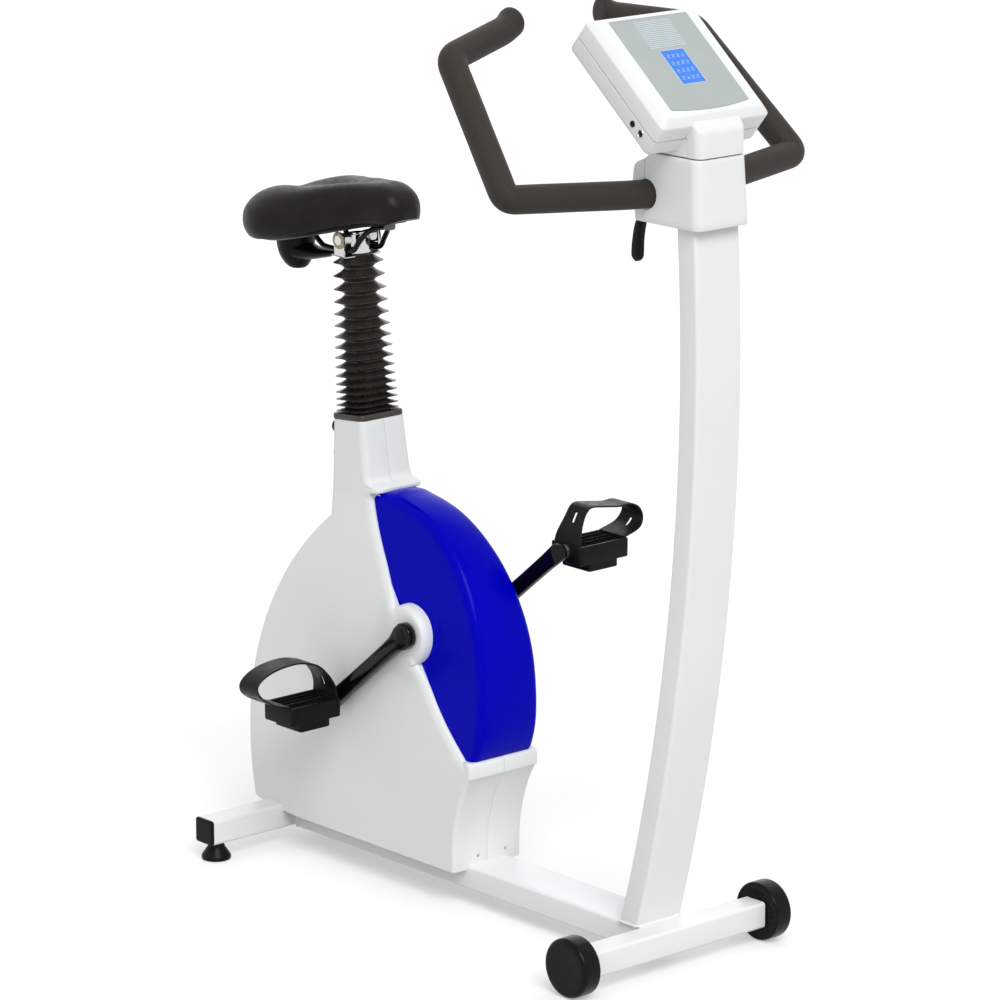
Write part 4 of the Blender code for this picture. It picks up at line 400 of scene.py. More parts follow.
def loft(rings, closed=False, caps=True):
    """Skin over equal closed rings."""
    count = len(rings[0])
    points = [p for ring in rings for p in ring]
    faces = []
    pairs = len(rings) if closed else len(rings) - 1
    for r in range(pairs):
        low = r * count
        high = ((r + 1) % len(rings)) * count
        for i in range(count):
            j = (i + 1) % count
            faces.append((low + i, low + j, high + j, high + i))
    if caps and not closed:
        faces.append(tuple(range(count)))
        faces.append(tuple(range((len(rings) - 1) * count, len(rings) * count)))
    return points, faces


def grid(rows):
    """Open skin over rows of equal length."""
    count = len(rows[0])
    points = [p for row in rows for p in row]
    faces = []
    for r in range(len(rows) - 1):
        for i in range(count - 1):
            a = r * count + i
            faces.append((a, a + 1, a + count + 1, a + count))
    return points, faces


def prism(outline, axis, low, high, origin=(0, 0, 0)):
    u, v, w = AXES[axis]
    return loft([place(outline, Vector(origin) + Vector(w) * at, u, v) for at in (low, high)])


def soft_prism(outline_at, axis, low, high, edge, origin=(0, 0, 0), steps=4):
    """A prism with rounded rims; outline_at gives the outline at an inset."""
    u, v, w = AXES[axis]
    levels = quarter(low + edge, edge, -edge, -edge, steps)[::-1]
    rise = [(high - (at - low), inset) for at, inset in levels[::-1]]
    rings = [place(outline_at(inset), Vector(origin) + Vector(w) * at, u, v)
             for at, inset in levels + rise]
    return loft(rings)


def turned(profile, axis, origin, sides=48, closed=False):
    """A (radius, height) profile turned round an axis."""
    u, v, w = AXES[axis]
    rings = [place(circle(max(radius, 1e-5), sides), Vector(origin) + Vector(w) * height, u, v)
             for radius, height in profile]
    return loft(rings, closed)


def sweep(path, radii, sides):
    """Rings of a round tube along a path, carried without a twist."""
    rings = []
    side = None
    for i, point in enumerate(path):
        run = (path[min(i + 1, len(path) - 1)] - path[max(i - 1, 0)]).normalized()
        if side is None:
            side = run.orthogonal().normalized()
        side = (side - run * side.dot(run)).normalized()
        up = run.cross(side)
        rings.append(place(circle(radii[i], sides), point, side, up))
    return rings


def joined(*shapes):
    points = []
    faces = []
    for some_points, some_faces in shapes:
        start = len(points)
        points += list(some_points)
        faces += [tuple(start + i for i in face) for face in some_faces]
    return points, faces


def mirrored(shape):
    """The same shape on the other side of the middle plane."""
    points, faces = shape
    return [Vector((p[0], -p[1], p[2])) for p in points], faces


def make(name, shape, look, body, stands_for=(), angle=40):
    """One piece of the object, from points in the crank frame."""
    points, faces = shape
    mesh = bpy.data.meshes.new(name)
    mesh.from_pydata([(p[0] + SHIFT, p[1], p[2]) for p in points], [], faces)
    edit = bmesh.new()
    edit.from_mesh(mesh)
    bmesh.ops.remove_doubles(edit, verts=edit.verts, dist=2e-6)
    bmesh.ops.recalc_face_normals(edit, faces=edit.faces)
    edit.to_mesh(mesh)
    edit.free()
    mesh.shade_smooth()
    if angle < 180:
        mesh.set_sharp_from_angle(angle=radians(angle))
    piece = bpy.data.objects.new(name, mesh)
    bpy.context.scene.collection.objects.link(piece)
    mesh.materials.append(LOOKS[look])
    if body:
        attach(piece, body)
    if stands_for:
        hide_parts(*stands_for)
    return piece


def carve(piece, shape, operation="DIFFERENCE", angle=40):
    """Cuts a shape out of a piece, adds it or keeps only what is in it."""
    tool = bpy.data.objects.new("tool", bpy.data.meshes.new("tool"))
    tool.data.from_pydata([(p[0] + SHIFT, p[1], p[2]) for p in shape[0]], [], shape[1])
    edit = bmesh.new()
    edit.from_mesh(tool.data)
    bmesh.ops.recalc_face_normals(edit, faces=edit.faces)
    edit.to_mesh(tool.data)
    edit.free()
    bpy.context.scene.collection.objects.link(tool)
    modifier = piece.modifiers.new("carve", "BOOLEAN")
    modifier.operation = operation
    modifier.object = tool
    modifier.solver = "EXACT"
    settle(piece)
    bpy.data.objects.remove(tool)
    piece.data.shade_smooth()
    piece.data.set_sharp_from_angle(angle=radians(angle))


def settle(piece):
    """Puts the result of a piece's modifiers in its mesh."""
    depsgraph = bpy.context.evaluated_depsgraph_get()
    depsgraph.update()
    mesh = bpy.data.meshes.new_from_object(piece.evaluated_get(depsgraph))
    piece.modifiers.clear()
    piece.data = mesh


def bevel(piece, width, segments, angle):
    """Rounds a piece's sharp edges."""
    modifier = piece.modifiers.new("edges", "BEVEL")
    modifier.width = width
    modifier.segments = segments
    modifier.limit_method = "ANGLE"
    modifier.angle_limit = radians(angle)
    modifier.harden_normals = False


# Materials

PATCH_RANGE = (0.3, 0.7)    # noise values between which a patch turns into the next


class Surface:
    """A finish built from object-space noise: colour, roughness and relief."""

    def __init__(self, name, colour, roughness, metallic=0.0, specular=0.5):
        self.material = bpy.data.materials.new(name)
        self.material.use_nodes = True
        self.material.diffuse_color = (*colour, 1.0)
        tree = self.material.node_tree
        self.nodes = tree.nodes
        self.links = tree.links
        self.shader = self.nodes["Principled BSDF"]
        self.colour = colour
        self.roughness = roughness
        self.shader.inputs["Base Color"].default_value = (*colour, 1.0)
        self.shader.inputs["Roughness"].default_value = roughness
        self.shader.inputs["Metallic"].default_value = metallic
        self.shader.inputs["Specular IOR Level"].default_value = specular
        self.where = self.nodes.new("ShaderNodeTexCoord").outputs["Object"]
        self.normal = None

    def stretched(self, scale):
        mapping = self.nodes.new("ShaderNodeMapping")
        mapping.inputs["Scale"].default_value = scale
        self.links.new(self.where, mapping.inputs["Vector"])
        return mapping.outputs["Vector"]

    def noise(self, scale, detail=3.0, vector=None):
        node = self.nodes.new("ShaderNodeTexNoise")
        node.inputs["Scale"].default_value = scale
        node.inputs["Detail"].default_value = detail
        self.links.new(vector or self.where, node.inputs["Vector"])
        return node.outputs["Fac"]

    def cells(self, scale, vector, feature):
        node = self.nodes.new("ShaderNodeTexVoronoi")
        node.feature = feature
        node.inputs["Scale"].default_value = scale
        self.links.new(vector or self.where, node.inputs["Vector"])
        return node.outputs["Distance"]

    def mottle(self, share, scale, detail=3.0, vector=None):
        """Lighter and darker patches."""
        spread = self.ranged(self.noise(scale, detail, vector), *PATCH_RANGE, 0.0, 1.0)
        node = self.nodes.new("ShaderNodeMix")
        node.data_type = "RGBA"
        dark, light = [[min(c * k, 1.0) for c in self.colour] for k in (1 - share, 1 + share)]
        node.inputs[6].default_value = (*dark, 1.0)
        node.inputs[7].default_value = (*light, 1.0)
        self.links.new(spread, node.inputs[0])
        self.links.new(node.outputs[2], self.shader.inputs["Base Color"])

    def ranged(self, value, low, high, out_low, out_high):
        node = self.nodes.new("ShaderNodeMapRange")
        for key, number in zip(("From Min", "From Max", "To Min", "To Max"),
                               (low, high, out_low, out_high)):
            node.inputs[key].default_value = number
        self.links.new(value, node.inputs["Value"])
        return node.outputs["Result"]

    def dull(self, spread, scale, detail=3.0, vector=None):
        """Rougher and smoother patches."""
        value = self.ranged(self.noise(scale, detail, vector), *PATCH_RANGE,
                            max(self.roughness - spread, 0.02), self.roughness + spread)
        self.links.new(value, self.shader.inputs["Roughness"])

    def relief(self, value, depth):
        """Real relief of a depth in metres from a value between 0 and 1."""
        node = self.nodes.new("ShaderNodeBump")
        node.inputs["Strength"].default_value = 1.0
        node.inputs["Distance"].default_value = depth
        self.links.new(value, node.inputs["Height"])
        if self.normal is not None:
            self.links.new(self.normal, node.inputs["Normal"])
        self.normal = node.outputs["Normal"]
        self.links.new(self.normal, self.shader.inputs["Normal"])

    def sheen(self, weight, roughness):
        self.shader.inputs["Sheen Weight"].default_value = weight
        self.shader.inputs["Sheen Roughness"].default_value = roughness


# For each finish: colour, roughness, metallic, specular; share, scale and detail of its lighter and darker
# patches; spread and scale of its duller patches; and each relief's texture, scale, detail and depth in metres
FINISHES = {
    "white_paint": ((0.77, 0.79, 0.785), 0.34, 0.0, 0.35, (0.015, 7.0), (0.05, 60.0),
                    (("noise", 420.0, 2.0, 0.00004), ("noise", 35.0, 2.0, 0.00012))),
    "white_plastic": ((0.765, 0.785, 0.78), 0.42, 0.0, 0.35, (0.012, 11.0), (0.05, 45.0),
                      (("noise", 1900.0, 2.0, 0.000022), ("noise", 22.0, 2.0, 0.00010))),
    "blue_plastic": ((0.0006, 0.0004, 0.440), 0.20, 0.0, 0.035, (0.05, 9.0), (0.05, 50.0),
                     (("noise", 24.0, 2.0, 0.00012), ("noise", 1500.0, 2.0, 0.000010))),
    "black_plastic": ((0.0058, 0.0054, 0.0046), 0.36, 0.0, 0.10, (0.20, 60.0), (0.08, 90.0),
                      (("noise", 1400.0, 3.0, 0.00004),)),
    "strap_plastic": ((0.0080, 0.0072, 0.0062), 0.40, 0.0, 0.14, (0.22, 70.0), (0.09, 120.0),
                      (("F1", 1300.0, 0.0, 0.00005), ("noise", 90.0, 3.0, 0.00012))),
    "black_paint": ((0.0022, 0.0022, 0.0020), 0.11, 0.0, 0.18, (0.15, 40.0), (0.05, 60.0),
                    (("noise", 320.0, 2.0, 0.00004),)),
    "bellows_rubber": ((0.030, 0.026, 0.020), 0.30, 0.0, 0.45, (0.22, 80.0), (0.10, 120.0),
                       (("noise", 900.0, 3.0, 0.00002), ("noise", 120.0, 2.0, 0.00005))),
    "saddle_vinyl": ((0.0075, 0.0066, 0.0052), 0.40, 0.0, 0.16, (0.22, 40.0), (0.07, 90.0),
                     (("DISTANCE_TO_EDGE", 900.0, 0.0, 0.00009), ("noise", 160.0, 4.0, 0.00016))),
    "foam": ((0.032, 0.027, 0.022), 0.62, 0.0, 0.16, (0.10, 420.0, 2.0), None,
             (("F1", 1500.0, 0.0, 0.00007), ("noise", 120.0, 3.0, 0.00012))),
    "chrome": ((0.62, 0.62, 0.61), 0.12, 1.0, 0.5, (0.08, 90.0), (0.05, 160.0),
               (("noise", 60.0, 2.0, 0.00010),)),
    "zinc": ((0.30, 0.24, 0.16), 0.30, 1.0, 0.5, (0.25, 160.0), (0.08, 260.0),
             (("noise", 500.0, 2.0, 0.00005),)),
    "steel": ((0.42, 0.42, 0.43), 0.34, 1.0, 0.5, (0.12, 120.0), (0.10, 160.0),
              (("noise", 500.0, 2.0, 0.00004),)),
    "iron": ((0.19, 0.19, 0.20), 0.46, 1.0, 0.5, (0.20, 60.0), (0.12, 120.0),
             (("noise", 420.0, 4.0, 0.00014),)),
    "grey_panel": ((0.385, 0.425, 0.418), 0.48, 0.0, 0.25, (0.02, 30.0), (0.05, 90.0),
                   (("noise", 2200.0, 2.0, 0.00002),)),
    "display": ((0.030, 0.20, 0.80), 0.16, 0.0, 0.40, (0.10, 700.0, 1.0), (0.04, 60.0),
                (("noise", 40.0, 1.0, 0.00003),)),
    "pale_marks": ((0.62, 0.72, 0.80), 0.40, 0.0, 0.30, (0.05, 300.0), (0.05, 200.0),
                   (("noise", 1500.0, 2.0, 0.00001),)),
    "grey_rubber": ((0.17, 0.17, 0.165), 0.62, 0.0, 0.30, (0.15, 200.0), (0.08, 200.0),
                    (("noise", 900.0, 3.0, 0.00010),)),
    "belt_rubber": ((0.018, 0.018, 0.018), 0.62, 0.0, 0.30, (0.20, 120.0), (0.08, 200.0),
                    (("noise", 700.0, 3.0, 0.00010),)),
    "wheel_rubber": ((0.0040, 0.0040, 0.0032), 0.26, 0.0, 0.12, (0.22, 90.0), (0.08, 140.0),
                     (("noise", 800.0, 3.0, 0.00005),)),
    # this finish is the small jack ring's own dark plastic, and also the painted shade on the flat discs in
    # both jack bores
    "dark_socket_and_shade": ((0.004, 0.004, 0.004), 0.60, 0.0, 0.20, (0.20, 200.0), (0.08, 200.0),
                    (("noise", 900.0, 2.0, 0.00004),))}
GRAIN = {"steel": (1.0, 1.0, 14.0)}
SHEEN = {"foam": (0.06, 0.5)}


def looks():
    made = {}
    for name, (colour, roughness, metallic, specular, patches, dulled, reliefs) in FINISHES.items():
        finish = Surface(name, colour, roughness, metallic, specular)
        vector = finish.stretched(GRAIN[name]) if name in GRAIN else None
        finish.mottle(*patches, vector=vector)
        if dulled:
            finish.dull(*dulled, vector=vector)
        if name in SHEEN:
            finish.sheen(*SHEEN[name])
        for kind, scale, detail, depth in reliefs:
            value = (finish.noise(scale, detail, vector) if kind == "noise"
                     else finish.cells(scale, vector, kind))
            finish.relief(value, depth)
        made[name] = finish.material
    return made


# Base

def tube_ends(width, height, corner):
    def outline_at(inset):
        return rounded_rect(width - 2 * inset, height - 2 * inset, max(corner - inset, 0.0008), 8)
    return outline_at


def bead(path, radius=0.0022, sides=10):
    """A weld bead along a closed path, a little uneven."""
    count = len(path)
    rings = []
    for i, point in enumerate(path):
        run = (path[(i + 1) % count] - path[i - 1]).normalized()
        side = run.orthogonal().normalized()
        up = run.cross(side)
        swell = radius * (1 + 0.10 * sin(i * 2.4) + 0.06 * sin(i * 1.1))
        rings.append(place(circle(swell, sides), point, side, up))
    return loft(rings, closed=True)


def even(outline, spacing):
    """A closed outline with points at about equal distances."""
    points = [Vector(p) for p in outline]
    points.append(points[0])
    out = []
    for a, b in zip(points, points[1:]):
        steps = max(1, int((b - a).length / spacing))
        out += [a.lerp(b, s / steps) for s in range(steps)]
    return out


def base():
    low = REAR_X + CROSS_D / 2 + GAP
    high = FRONT_X - CROSS_D / 2 - GAP
    beam = soft_prism(tube_ends(BEAM_W, BEAM_H, TUBE_CORNER), "X", low, high, 0.0006, (0, 0, BEAM_Z))
    make("long_beam", beam, "white_paint", "frame", stands_for=("base_beam",))
    for name, x in (("rear", low + 0.0004), ("front", high - 0.0004)):
        outline = even(rounded_rect(BEAM_W - 0.001, BEAM_H - 0.001, TUBE_CORNER, 4), 0.003)
        path = place(outline, (x, 0, BEAM_Z), (0, 1, 0), (0, 0, 1))
        make("weld_beam_" + name, bead(path, 0.0017), "white_paint", "frame")

    outline_at = tube_ends(CROSS_D, CROSS_H, TUBE_CORNER)
    front = soft_prism(outline_at, "Y", -FRONT_HALF, FRONT_HALF, 0.0010, (FRONT_X, 0, FRONT_Z))
    make("front_tube", front, "white_paint", "frame", stands_for=("front_cross_tube",))
    inside = REAR_HALF - CAP_T - GAP
    rear = soft_prism(outline_at, "Y", -inside, inside, 0.0005, (REAR_X, 0, REAR_Z))
    make("rear_tube", rear, "white_paint", "frame", stands_for=("rear_cross_tube",))
    for side, name in ((-1, "right"), (1, "left")):
        u, v, _ = AXES["Y"]
        rings = []
        for out, inset in ((-CAP_T, 0.0002), (-CAP_T * 0.5, 0.0), (-0.0016, 0.0), (-0.0008, 0.0005),
                           (-0.0003, 0.0014), (0.0, 0.0030), (0.0, 0.0060)):
            rings.append(place(outline_at(inset), (REAR_X, side * (REAR_HALF + out), REAR_Z), u, v))
        make("tube_cap_" + name, loft(rings), "black_plastic", "frame",
             stands_for=("rear_cap_" + name,))
        wheel(side, name)
        foot(side, name)


def wheel(side, name):
    face = WHEEL_OUT
    r = WHEEL_R
    bore = 0.0054
    profile = [(bore, WHEEL_IN), (r * 0.60, WHEEL_IN), (r * 0.66, WHEEL_IN + 0.0006),
               (r * 0.86, WHEEL_IN + 0.0006), (r * 0.93, WHEEL_IN)]
    inner, outer = 0.0028, 0.0055
    profile += quarter(r - inner, WHEEL_IN + inner, inner, -inner, 6)
    profile += quarter(r - outer, face - outer, outer, outer, 10)[::-1]
    profile += [(r * 0.70, face - 0.0001), (r * 0.50, face - 0.0003), (r * 0.25, face - 0.0004),
                (0.0, face - 0.0005), (0.0, face - 0.0014), (bore, face - 0.0014)]
    shape = turned([(a, side * b) for a, b in profile], "Y", (FRONT_X, 0, FRONT_Z), 72, closed=True)
    make("transport_wheel_" + name, shape, "wheel_rubber", "wheel_" + name,
         stands_for=("wheel_" + name,), angle=50)


def foot(side, name):
    top = REAR_Z - CROSS_H / 2
    profile = [(0.0, 0.0), (FOOT_R * 0.90, 0.0), (FOOT_R * 0.97, 0.0004), (FOOT_R, 0.0014),
               (FOOT_R, 0.0040), (FOOT_R * 0.985, 0.0052), (FOOT_R * 0.95, 0.0062),
               (FOOT_R * 0.80, 0.0104), (FOOT_R * 0.66, 0.0142), (FOOT_R * 0.58, 0.0166),
               (FOOT_R * 0.55, 0.0186), (FOOT_R * 0.54, top - 0.0014), (0.0040, top - 0.0012),
               (0.0040, top + 0.016), (0.0, top + 0.016)]
    shape = turned(profile, "Z", (REAR_X, side * FOOT_Y, 0), 48)
    make("round_foot_" + name, shape, "black_plastic", "foot_" + name,
         stands_for=("levelling_foot_" + name,), angle=35)


def column():
    low = BEAM_TOP + GAP
    rings = []
    count = 64
    for step in range(count + 1):
        z = mix(low, COLUMN_TOP, step / count)
        flat = sqrt(COLUMN_R ** 2 - (z - COLUMN_FRONT_Z) ** 2)
        face = COLUMN_FRONT_X - COLUMN_R + flat
        depth = COLUMN_D * COLUMN_R / flat
        rings.append(place(rounded_rect(depth, COLUMN_W, TUBE_CORNER, 8), (face - depth / 2, 0, z),
                           (1, 0, 0), (0, 1, 0)))
    make("curved_column", loft(rings), "white_paint", "frame", stands_for=("column",))
    base_ring = rings[0]
    middle = sum(base_ring, Vector()) / len(base_ring)
    outline = even([(p.x - middle.x, p.y) for p in base_ring], 0.003)
    path = [Vector((middle.x + p.x, p.y, low + 0.0002)) for p in outline]
    make("weld_column", bead(path, 0.0018), "white_paint", "frame")


# Cranks and pedals

def arm_outline(inset):
    """Crank arm seen from the side, along +X from the spindle to the pedal axle."""
    points = []
    boss = ARM_BOSS_R - inset
    end = ARM_END_R - inset
    half = ARM_HALF - inset
    for step in range(25):
        angle = pi / 2 + 0.30 + step * (2 * pi - pi - 0.60) / 24
        points.append((boss * cos(angle), boss * sin(angle)))
    lower = [(-0.0005 + ARM_BOSS_R * 0.42, -boss * 0.945), (ARM_BOSS_R * 0.90, -half * 1.36),
             (ARM_BOSS_R * 1.45, -half * 1.12), (CRANK_LENGTH * 0.30, -half * 1.02),
             (CRANK_LENGTH * 0.60, -half), (CRANK_LENGTH * 0.86, -half * 1.04)]
    lower = [(p.x, p.y) for p in smooth_line(lower, 4)]
    points += lower
    for step in range(17):
        angle = -1.30 + step * 2.60 / 16
        points.append((CRANK_LENGTH + end * cos(angle), end * sin(angle)))
    points += [(x, -y) for x, y in reversed(lower)]
    return points


def crank_arm(side, name):
    angle = radians(CRANK_ANGLE)
    along = Vector((side * cos(angle), 0, side * sin(angle)))
    across = Vector((-along.z, 0, along.x))
    centre = Vector((0, 0, CRANK_Z))
    low, high = ARM_IN + GAP, ARM_IN + ARM_T
    edge = 0.0032
    levels = [(low, 0.0008), (low + 0.0008, 0.0)] + quarter(high - edge, edge, edge, -edge, 6)
    rings = [place(arm_outline(inset), centre + Vector((0, side * at, 0)), along, across)
             for at, inset in levels]
    make("arm_" + name, loft(rings), "black_paint", "crank", stands_for=("crank_arm_" + name,),
         angle=50)
    for where, spot, radius, look in (("hub", centre, 0.0098, "black_plastic"),
                                      ("eye", centre + along * CRANK_LENGTH, 0.0066, "black_paint")):
        face = high
        profile = [(radius, face - 0.0030), (radius, face - 0.0002), (radius - 0.0003, face + 0.0002),
                   (radius - 0.0010, face + 0.0004), (radius * 0.80, face + 0.0004),
                   (radius * 0.76, face - 0.0002), (radius * 0.40, face - 0.0003), (0.0, face - 0.0003)]
        if where == "hub":
            profile = [(radius, face - 0.0030), (radius, face), (radius - 0.0003, face + 0.0005),
                       (radius - 0.0012, face + 0.0008), (radius * 0.60, face + 0.0011),
                       (0.0, face + 0.0012)]
        shape = turned([(r, side * at) for r, at in profile], "Y", (spot.x, 0, spot.z), 48)
        make(f"arm_{where}_{name}", shape, look, "crank", angle=40)


def pedal_centre(side):
    angle = radians(CRANK_ANGLE)
    return Vector((side * CRANK_LENGTH * cos(angle), side * PEDAL_Y,
                   CRANK_Z + side * CRANK_LENGTH * sin(angle)))


def pedal(side, name):
    centre = pedal_centre(side)
    bottom = PEDAL_TOP - PEDAL_H

    def outline_at(inset):
        return rounded_rect(PEDAL_L - 2 * inset, PEDAL_W - 2 * inset, max(0.0035 - inset, 0.001), 6)

    levels = [(bottom, 0.0022), (bottom + 0.0006, 0.0008), (bottom + 0.0020, 0.0002),
              (0.0, 0.0), (PEDAL_TOP - 0.0022, 0.0), (PEDAL_TOP - 0.0008, 0.0003),
              (PEDAL_TOP - 0.0002, 0.0008), (PEDAL_TOP, 0.0016), (PEDAL_TOP, 0.0034),
              (PEDAL_TOP - 0.0004, 0.0042), (PEDAL_TOP - 0.0030, 0.0048), (PEDAL_TOP - 0.0034, 0.0056),
              (PEDAL_TOP - 0.0034, 0.0120)]
    rings = [place(outline_at(inset), centre + Vector((0, 0, at)), (1, 0, 0), (0, 1, 0))
             for at, inset in levels]
    shapes = [loft(rings)]
    ridge = PEDAL_TOP - 0.0034
    for x in (-0.0165, -0.0055, 0.0055, 0.0165):
        rail = []
        for at, half in ((-PEDAL_W / 2 + 0.006, 0.0012), (PEDAL_W / 2 - 0.006, 0.0012)):
            rail.append([centre + Vector((x + dx, at, ridge + dz)) for dx, dz in
                         ((-half, -0.001), (half, -0.001), (half * 0.8, 0.0024), (0, 0.0028),
                          (-half * 0.8, 0.0024))])
        shapes.append(loft(rail))
    levels = [(bottom - WEIGHT_H, 0.0020), (bottom - WEIGHT_H + 0.0004, 0.0008),
              (bottom - WEIGHT_H + 0.0014, 0.0), (bottom - 0.0006, 0.0), (bottom + 0.0006, 0.0)]
    rings = [place(rounded_rect(WEIGHT_L - 2 * inset, WEIGHT_W - 2 * inset, 0.0030, 6),
                   centre + Vector((0, 0, at)), (1, 0, 0), (0, 1, 0)) for at, inset in levels]
    shapes.append(loft(rings))
    make("pedal_block_" + name, joined(*shapes), "black_plastic", "pedal_" + name,
         stands_for=("pedal_body_" + name,), angle=35)


def band(line, halves, thick):
    """A thin band over a line of (out, up) points, with round edges."""
    rings = []
    for i, point in enumerate(line):
        run = (line[min(i + 1, len(line) - 1)] - line[max(i - 1, 0)]).normalized()
        across = Vector((-run.y, run.x))
        half = halves[i]
        ring = []
        edge = thick / 2
        for x, t in ((-half + edge * 0.5, -1), (-half * 0.5, -1), (0, -1), (half * 0.5, -1),
                     (half - edge * 0.5, -1), (half, -0.45), (half, 0.45), (half - edge * 0.5, 1),
                     (half * 0.5, 1), (0, 1), (-half * 0.5, 1), (-half + edge * 0.5, 1),
                     (-half, 0.45), (-half, -0.45)):
            p = point + across * (t * edge)
            ring.append(Vector((x, p.x, p.y)))
        rings.append(ring)
    return loft(rings)


def strap(side, name):
    centre = pedal_centre(side)
    line = smooth_line(STRAP_LINE[name], 10)
    top = max(p.y for p in line)
    halves = [(STRAP_W + (STRAP_TOP_W - STRAP_W) * ease(min(1.0, p.y / (top * 0.80)))) / 2 for p in line]
    shapes = [band(line, halves, STRAP_T)]
    tail = smooth_line(STRAP_TAIL[name], 8)
    count = len(tail)
    lifted = [Vector((p.x, p.y + 0.0024)) for p in tail]
    halves = []
    for i in range(count):
        end = max(0.0, (i - count + 5) / 4)
        halves.append((STRAP_TOP_W / 2 - 0.0012) * sqrt(max(0.0, 1 - 0.75 * end ** 2)))
    shapes.append(band(lifted, halves, 0.0020))
    points, faces = joined(*shapes)
    foot = centre + Vector((0, 0, PEDAL_TOP + GAP))
    points = [foot + Vector((p.x, side * p.y, p.z)) for p in points]
    piece = make("strap_" + name, (points, faces), "strap_plastic", "pedal_" + name,
                 stands_for=("pedal_strap_" + name,), angle=40)
    for (out, up), lean in STRAP_SLOTS[name]:
        along = Vector((0, side * sin(radians(lean)), cos(radians(lean))))
        through = along.cross(Vector((1, 0, 0)))
        spot = foot + Vector((0, side * out, up))
        slot = rounded_rect(0.0048, 0.0150, 0.0022, 5)
        carve(piece, loft([place(slot, spot + through * at, (1, 0, 0), along)
                           for at in (-0.006, 0.006)]))


def cranks():
    for side, name in ((-1, "right"), (1, "left")):
        crank_arm(side, name)
        pedal(side, name)
        strap(side, name)


# Housing

front_line = Curve((FRONT_FOOT, 8), (FRONT_LEDGE, 1), (FRONT_DOME, 10), (SHELF, 3), (FRONT_NECK, 4))
half_line = Curve((HALF_TABLE, 8))
edge_line = Curve((EDGE_LOWER, 8), (EDGE_UPPER, 8))


def housing_rear(z):
    z = min(z, NECK_FOOT_Z + 0.02)
    arc = REAR_ARC_X - sqrt(REAR_ARC_R ** 2 - (z - REAR_ARC_Z) ** 2)
    return mix(arc, NECK_REAR_X, ease((z - NECK_FOOT_Z + 0.004) / 0.006))


def tail_low(x):
    """Lowest point of the housing's bottom line at a place."""
    return float(np.interp(x, *zip(*TAIL_LOW)))


def neck_top(x):
    return SEAT_Z + (x - SEAT_X) * tan(radians(SEAT_LEAN))


LIP = Curve((((0.0, -0.0048), (0.0008, -0.0038), (0.0020, -0.0028), (0.0038, -0.0019), (0.0060, -0.0011),
              (0.0090, -0.0004), (0.0130, -0.0001), (0.0200, 0.0)), 4))
RIM_COLUMNS = (0.020, 0.016, 0.013, 0.011, 0.009, 0.0075, 0.006, 0.0048, 0.0038, 0.0028, 0.0020, 0.0013,
               0.0008, 0.0004, 0.0)


def hill(x, z, half):
    """How far the side swells out towards the crank."""
    r = sqrt(x * x + (z - CRANK_Z) ** 2)
    return (BOSS_Y - half) * ease((BOSS_REACH - r) / (BOSS_REACH - 0.030)), r


def edge_slope(z):
    """Share of a level step that counts as distance from the cover's edge."""
    rise = 0.002
    run = edge_line(z + rise) - edge_line(z - rise)
    return 2 * rise / sqrt(run * run + 4 * rise * rise)


def shelf_round(z):
    """Extra corner radius of the shelf at a height."""
    return SHELF_ROUND * (1 - ease((z - SHELF_BACK_Z) / 0.008))


def housing_row(z, inset=0.0):
    """Half slice of the housing from the rear seam to the front seam, y above zero."""
    rear = housing_rear(z) + inset
    front = front_line(z) - inset
    half = half_line(z) - inset
    covered = COVER_LOW < z < COVER_HIGH
    lip = 0.0 if inset else ease((z - LIP_Z[0]) / LIP_FADE) * (1 - ease((z - LIP_Z[1]) / LIP_FADE))
    corner = max(EDGE_R - inset, 0.003)
    row = [(rear + 0.0014, 0.0001), (rear + 0.0003, 0.0006), (rear, 0.0014), (rear, 0.010),
           (rear, half - corner - 0.004)]
    row += quarter(rear + corner, half - corner, -corner, corner, 8)[::-1]
    if covered:
        edge = edge_line(z)
    elif z <= COVER_LOW:
        edge = min(FOOT_EDGE_X, front - STRIP)
    else:
        edge = front - STRIP - shelf_round(z)
    slope = edge_slope(min(max(z, 0.194), LIP_Z[1]))
    start = rear + corner
    reach = RIM_COLUMNS[0] / slope
    for step in range(1, 20):
        row.append((mix(start, edge - reach, step / 20), half))
    for gap in RIM_COLUMNS:
        row.append((edge - gap / slope, half + LIP(gap) * lip))
    if covered:
        deep = half - CORE_DEEP
        row += [(edge + 0.0001, half - 0.006), (edge + 0.0002, deep)]
        far = max(front - CORE_BACK - CORE_BACK_TOP * ease((z - 0.425) / 0.045), edge + 0.0010)
        for step in range(1, 4):
            row.append((mix(edge, far, step / 3), deep))
        row += quarter(far, deep - 0.002, 0.002, 0.002, 8)
        tip = far + 0.002
        row += [(tip, 0.012), (tip, 0.006), (tip, 0.0014), (tip, 0.0006), (tip, 0.0001)]
    else:
        round_front = max((EDGE_R if z > COVER_LOW else FOOT_EDGE_R) - inset, 0.002)
        if z > COVER_LOW:
            round_front += shelf_round(z)
        flat = front - round_front
        for step in range(1, 6):
            row.append((mix(edge, flat, step / 6), half))
        row += quarter(flat, half - round_front, round_front, round_front, 8)
        row += [(front, half - round_front - 0.004), (front, 0.010), (front, 0.0014),
                (front - 0.0003, 0.0006), (front - 0.0014, 0.0001)]
    out = []
    for x, y in row:
        if y > half * 0.8 and not inset:
            swell, r = hill(x, z, half)
            y += swell * min(1.0, (y - half * 0.8) / (half * 0.2 - 0.002))
            if r < HOLLOW_R:
                y -= 0.0012 * ease((HOLLOW_R - r) / 0.003)
        out.append(Vector((x, y, z)))
    return out


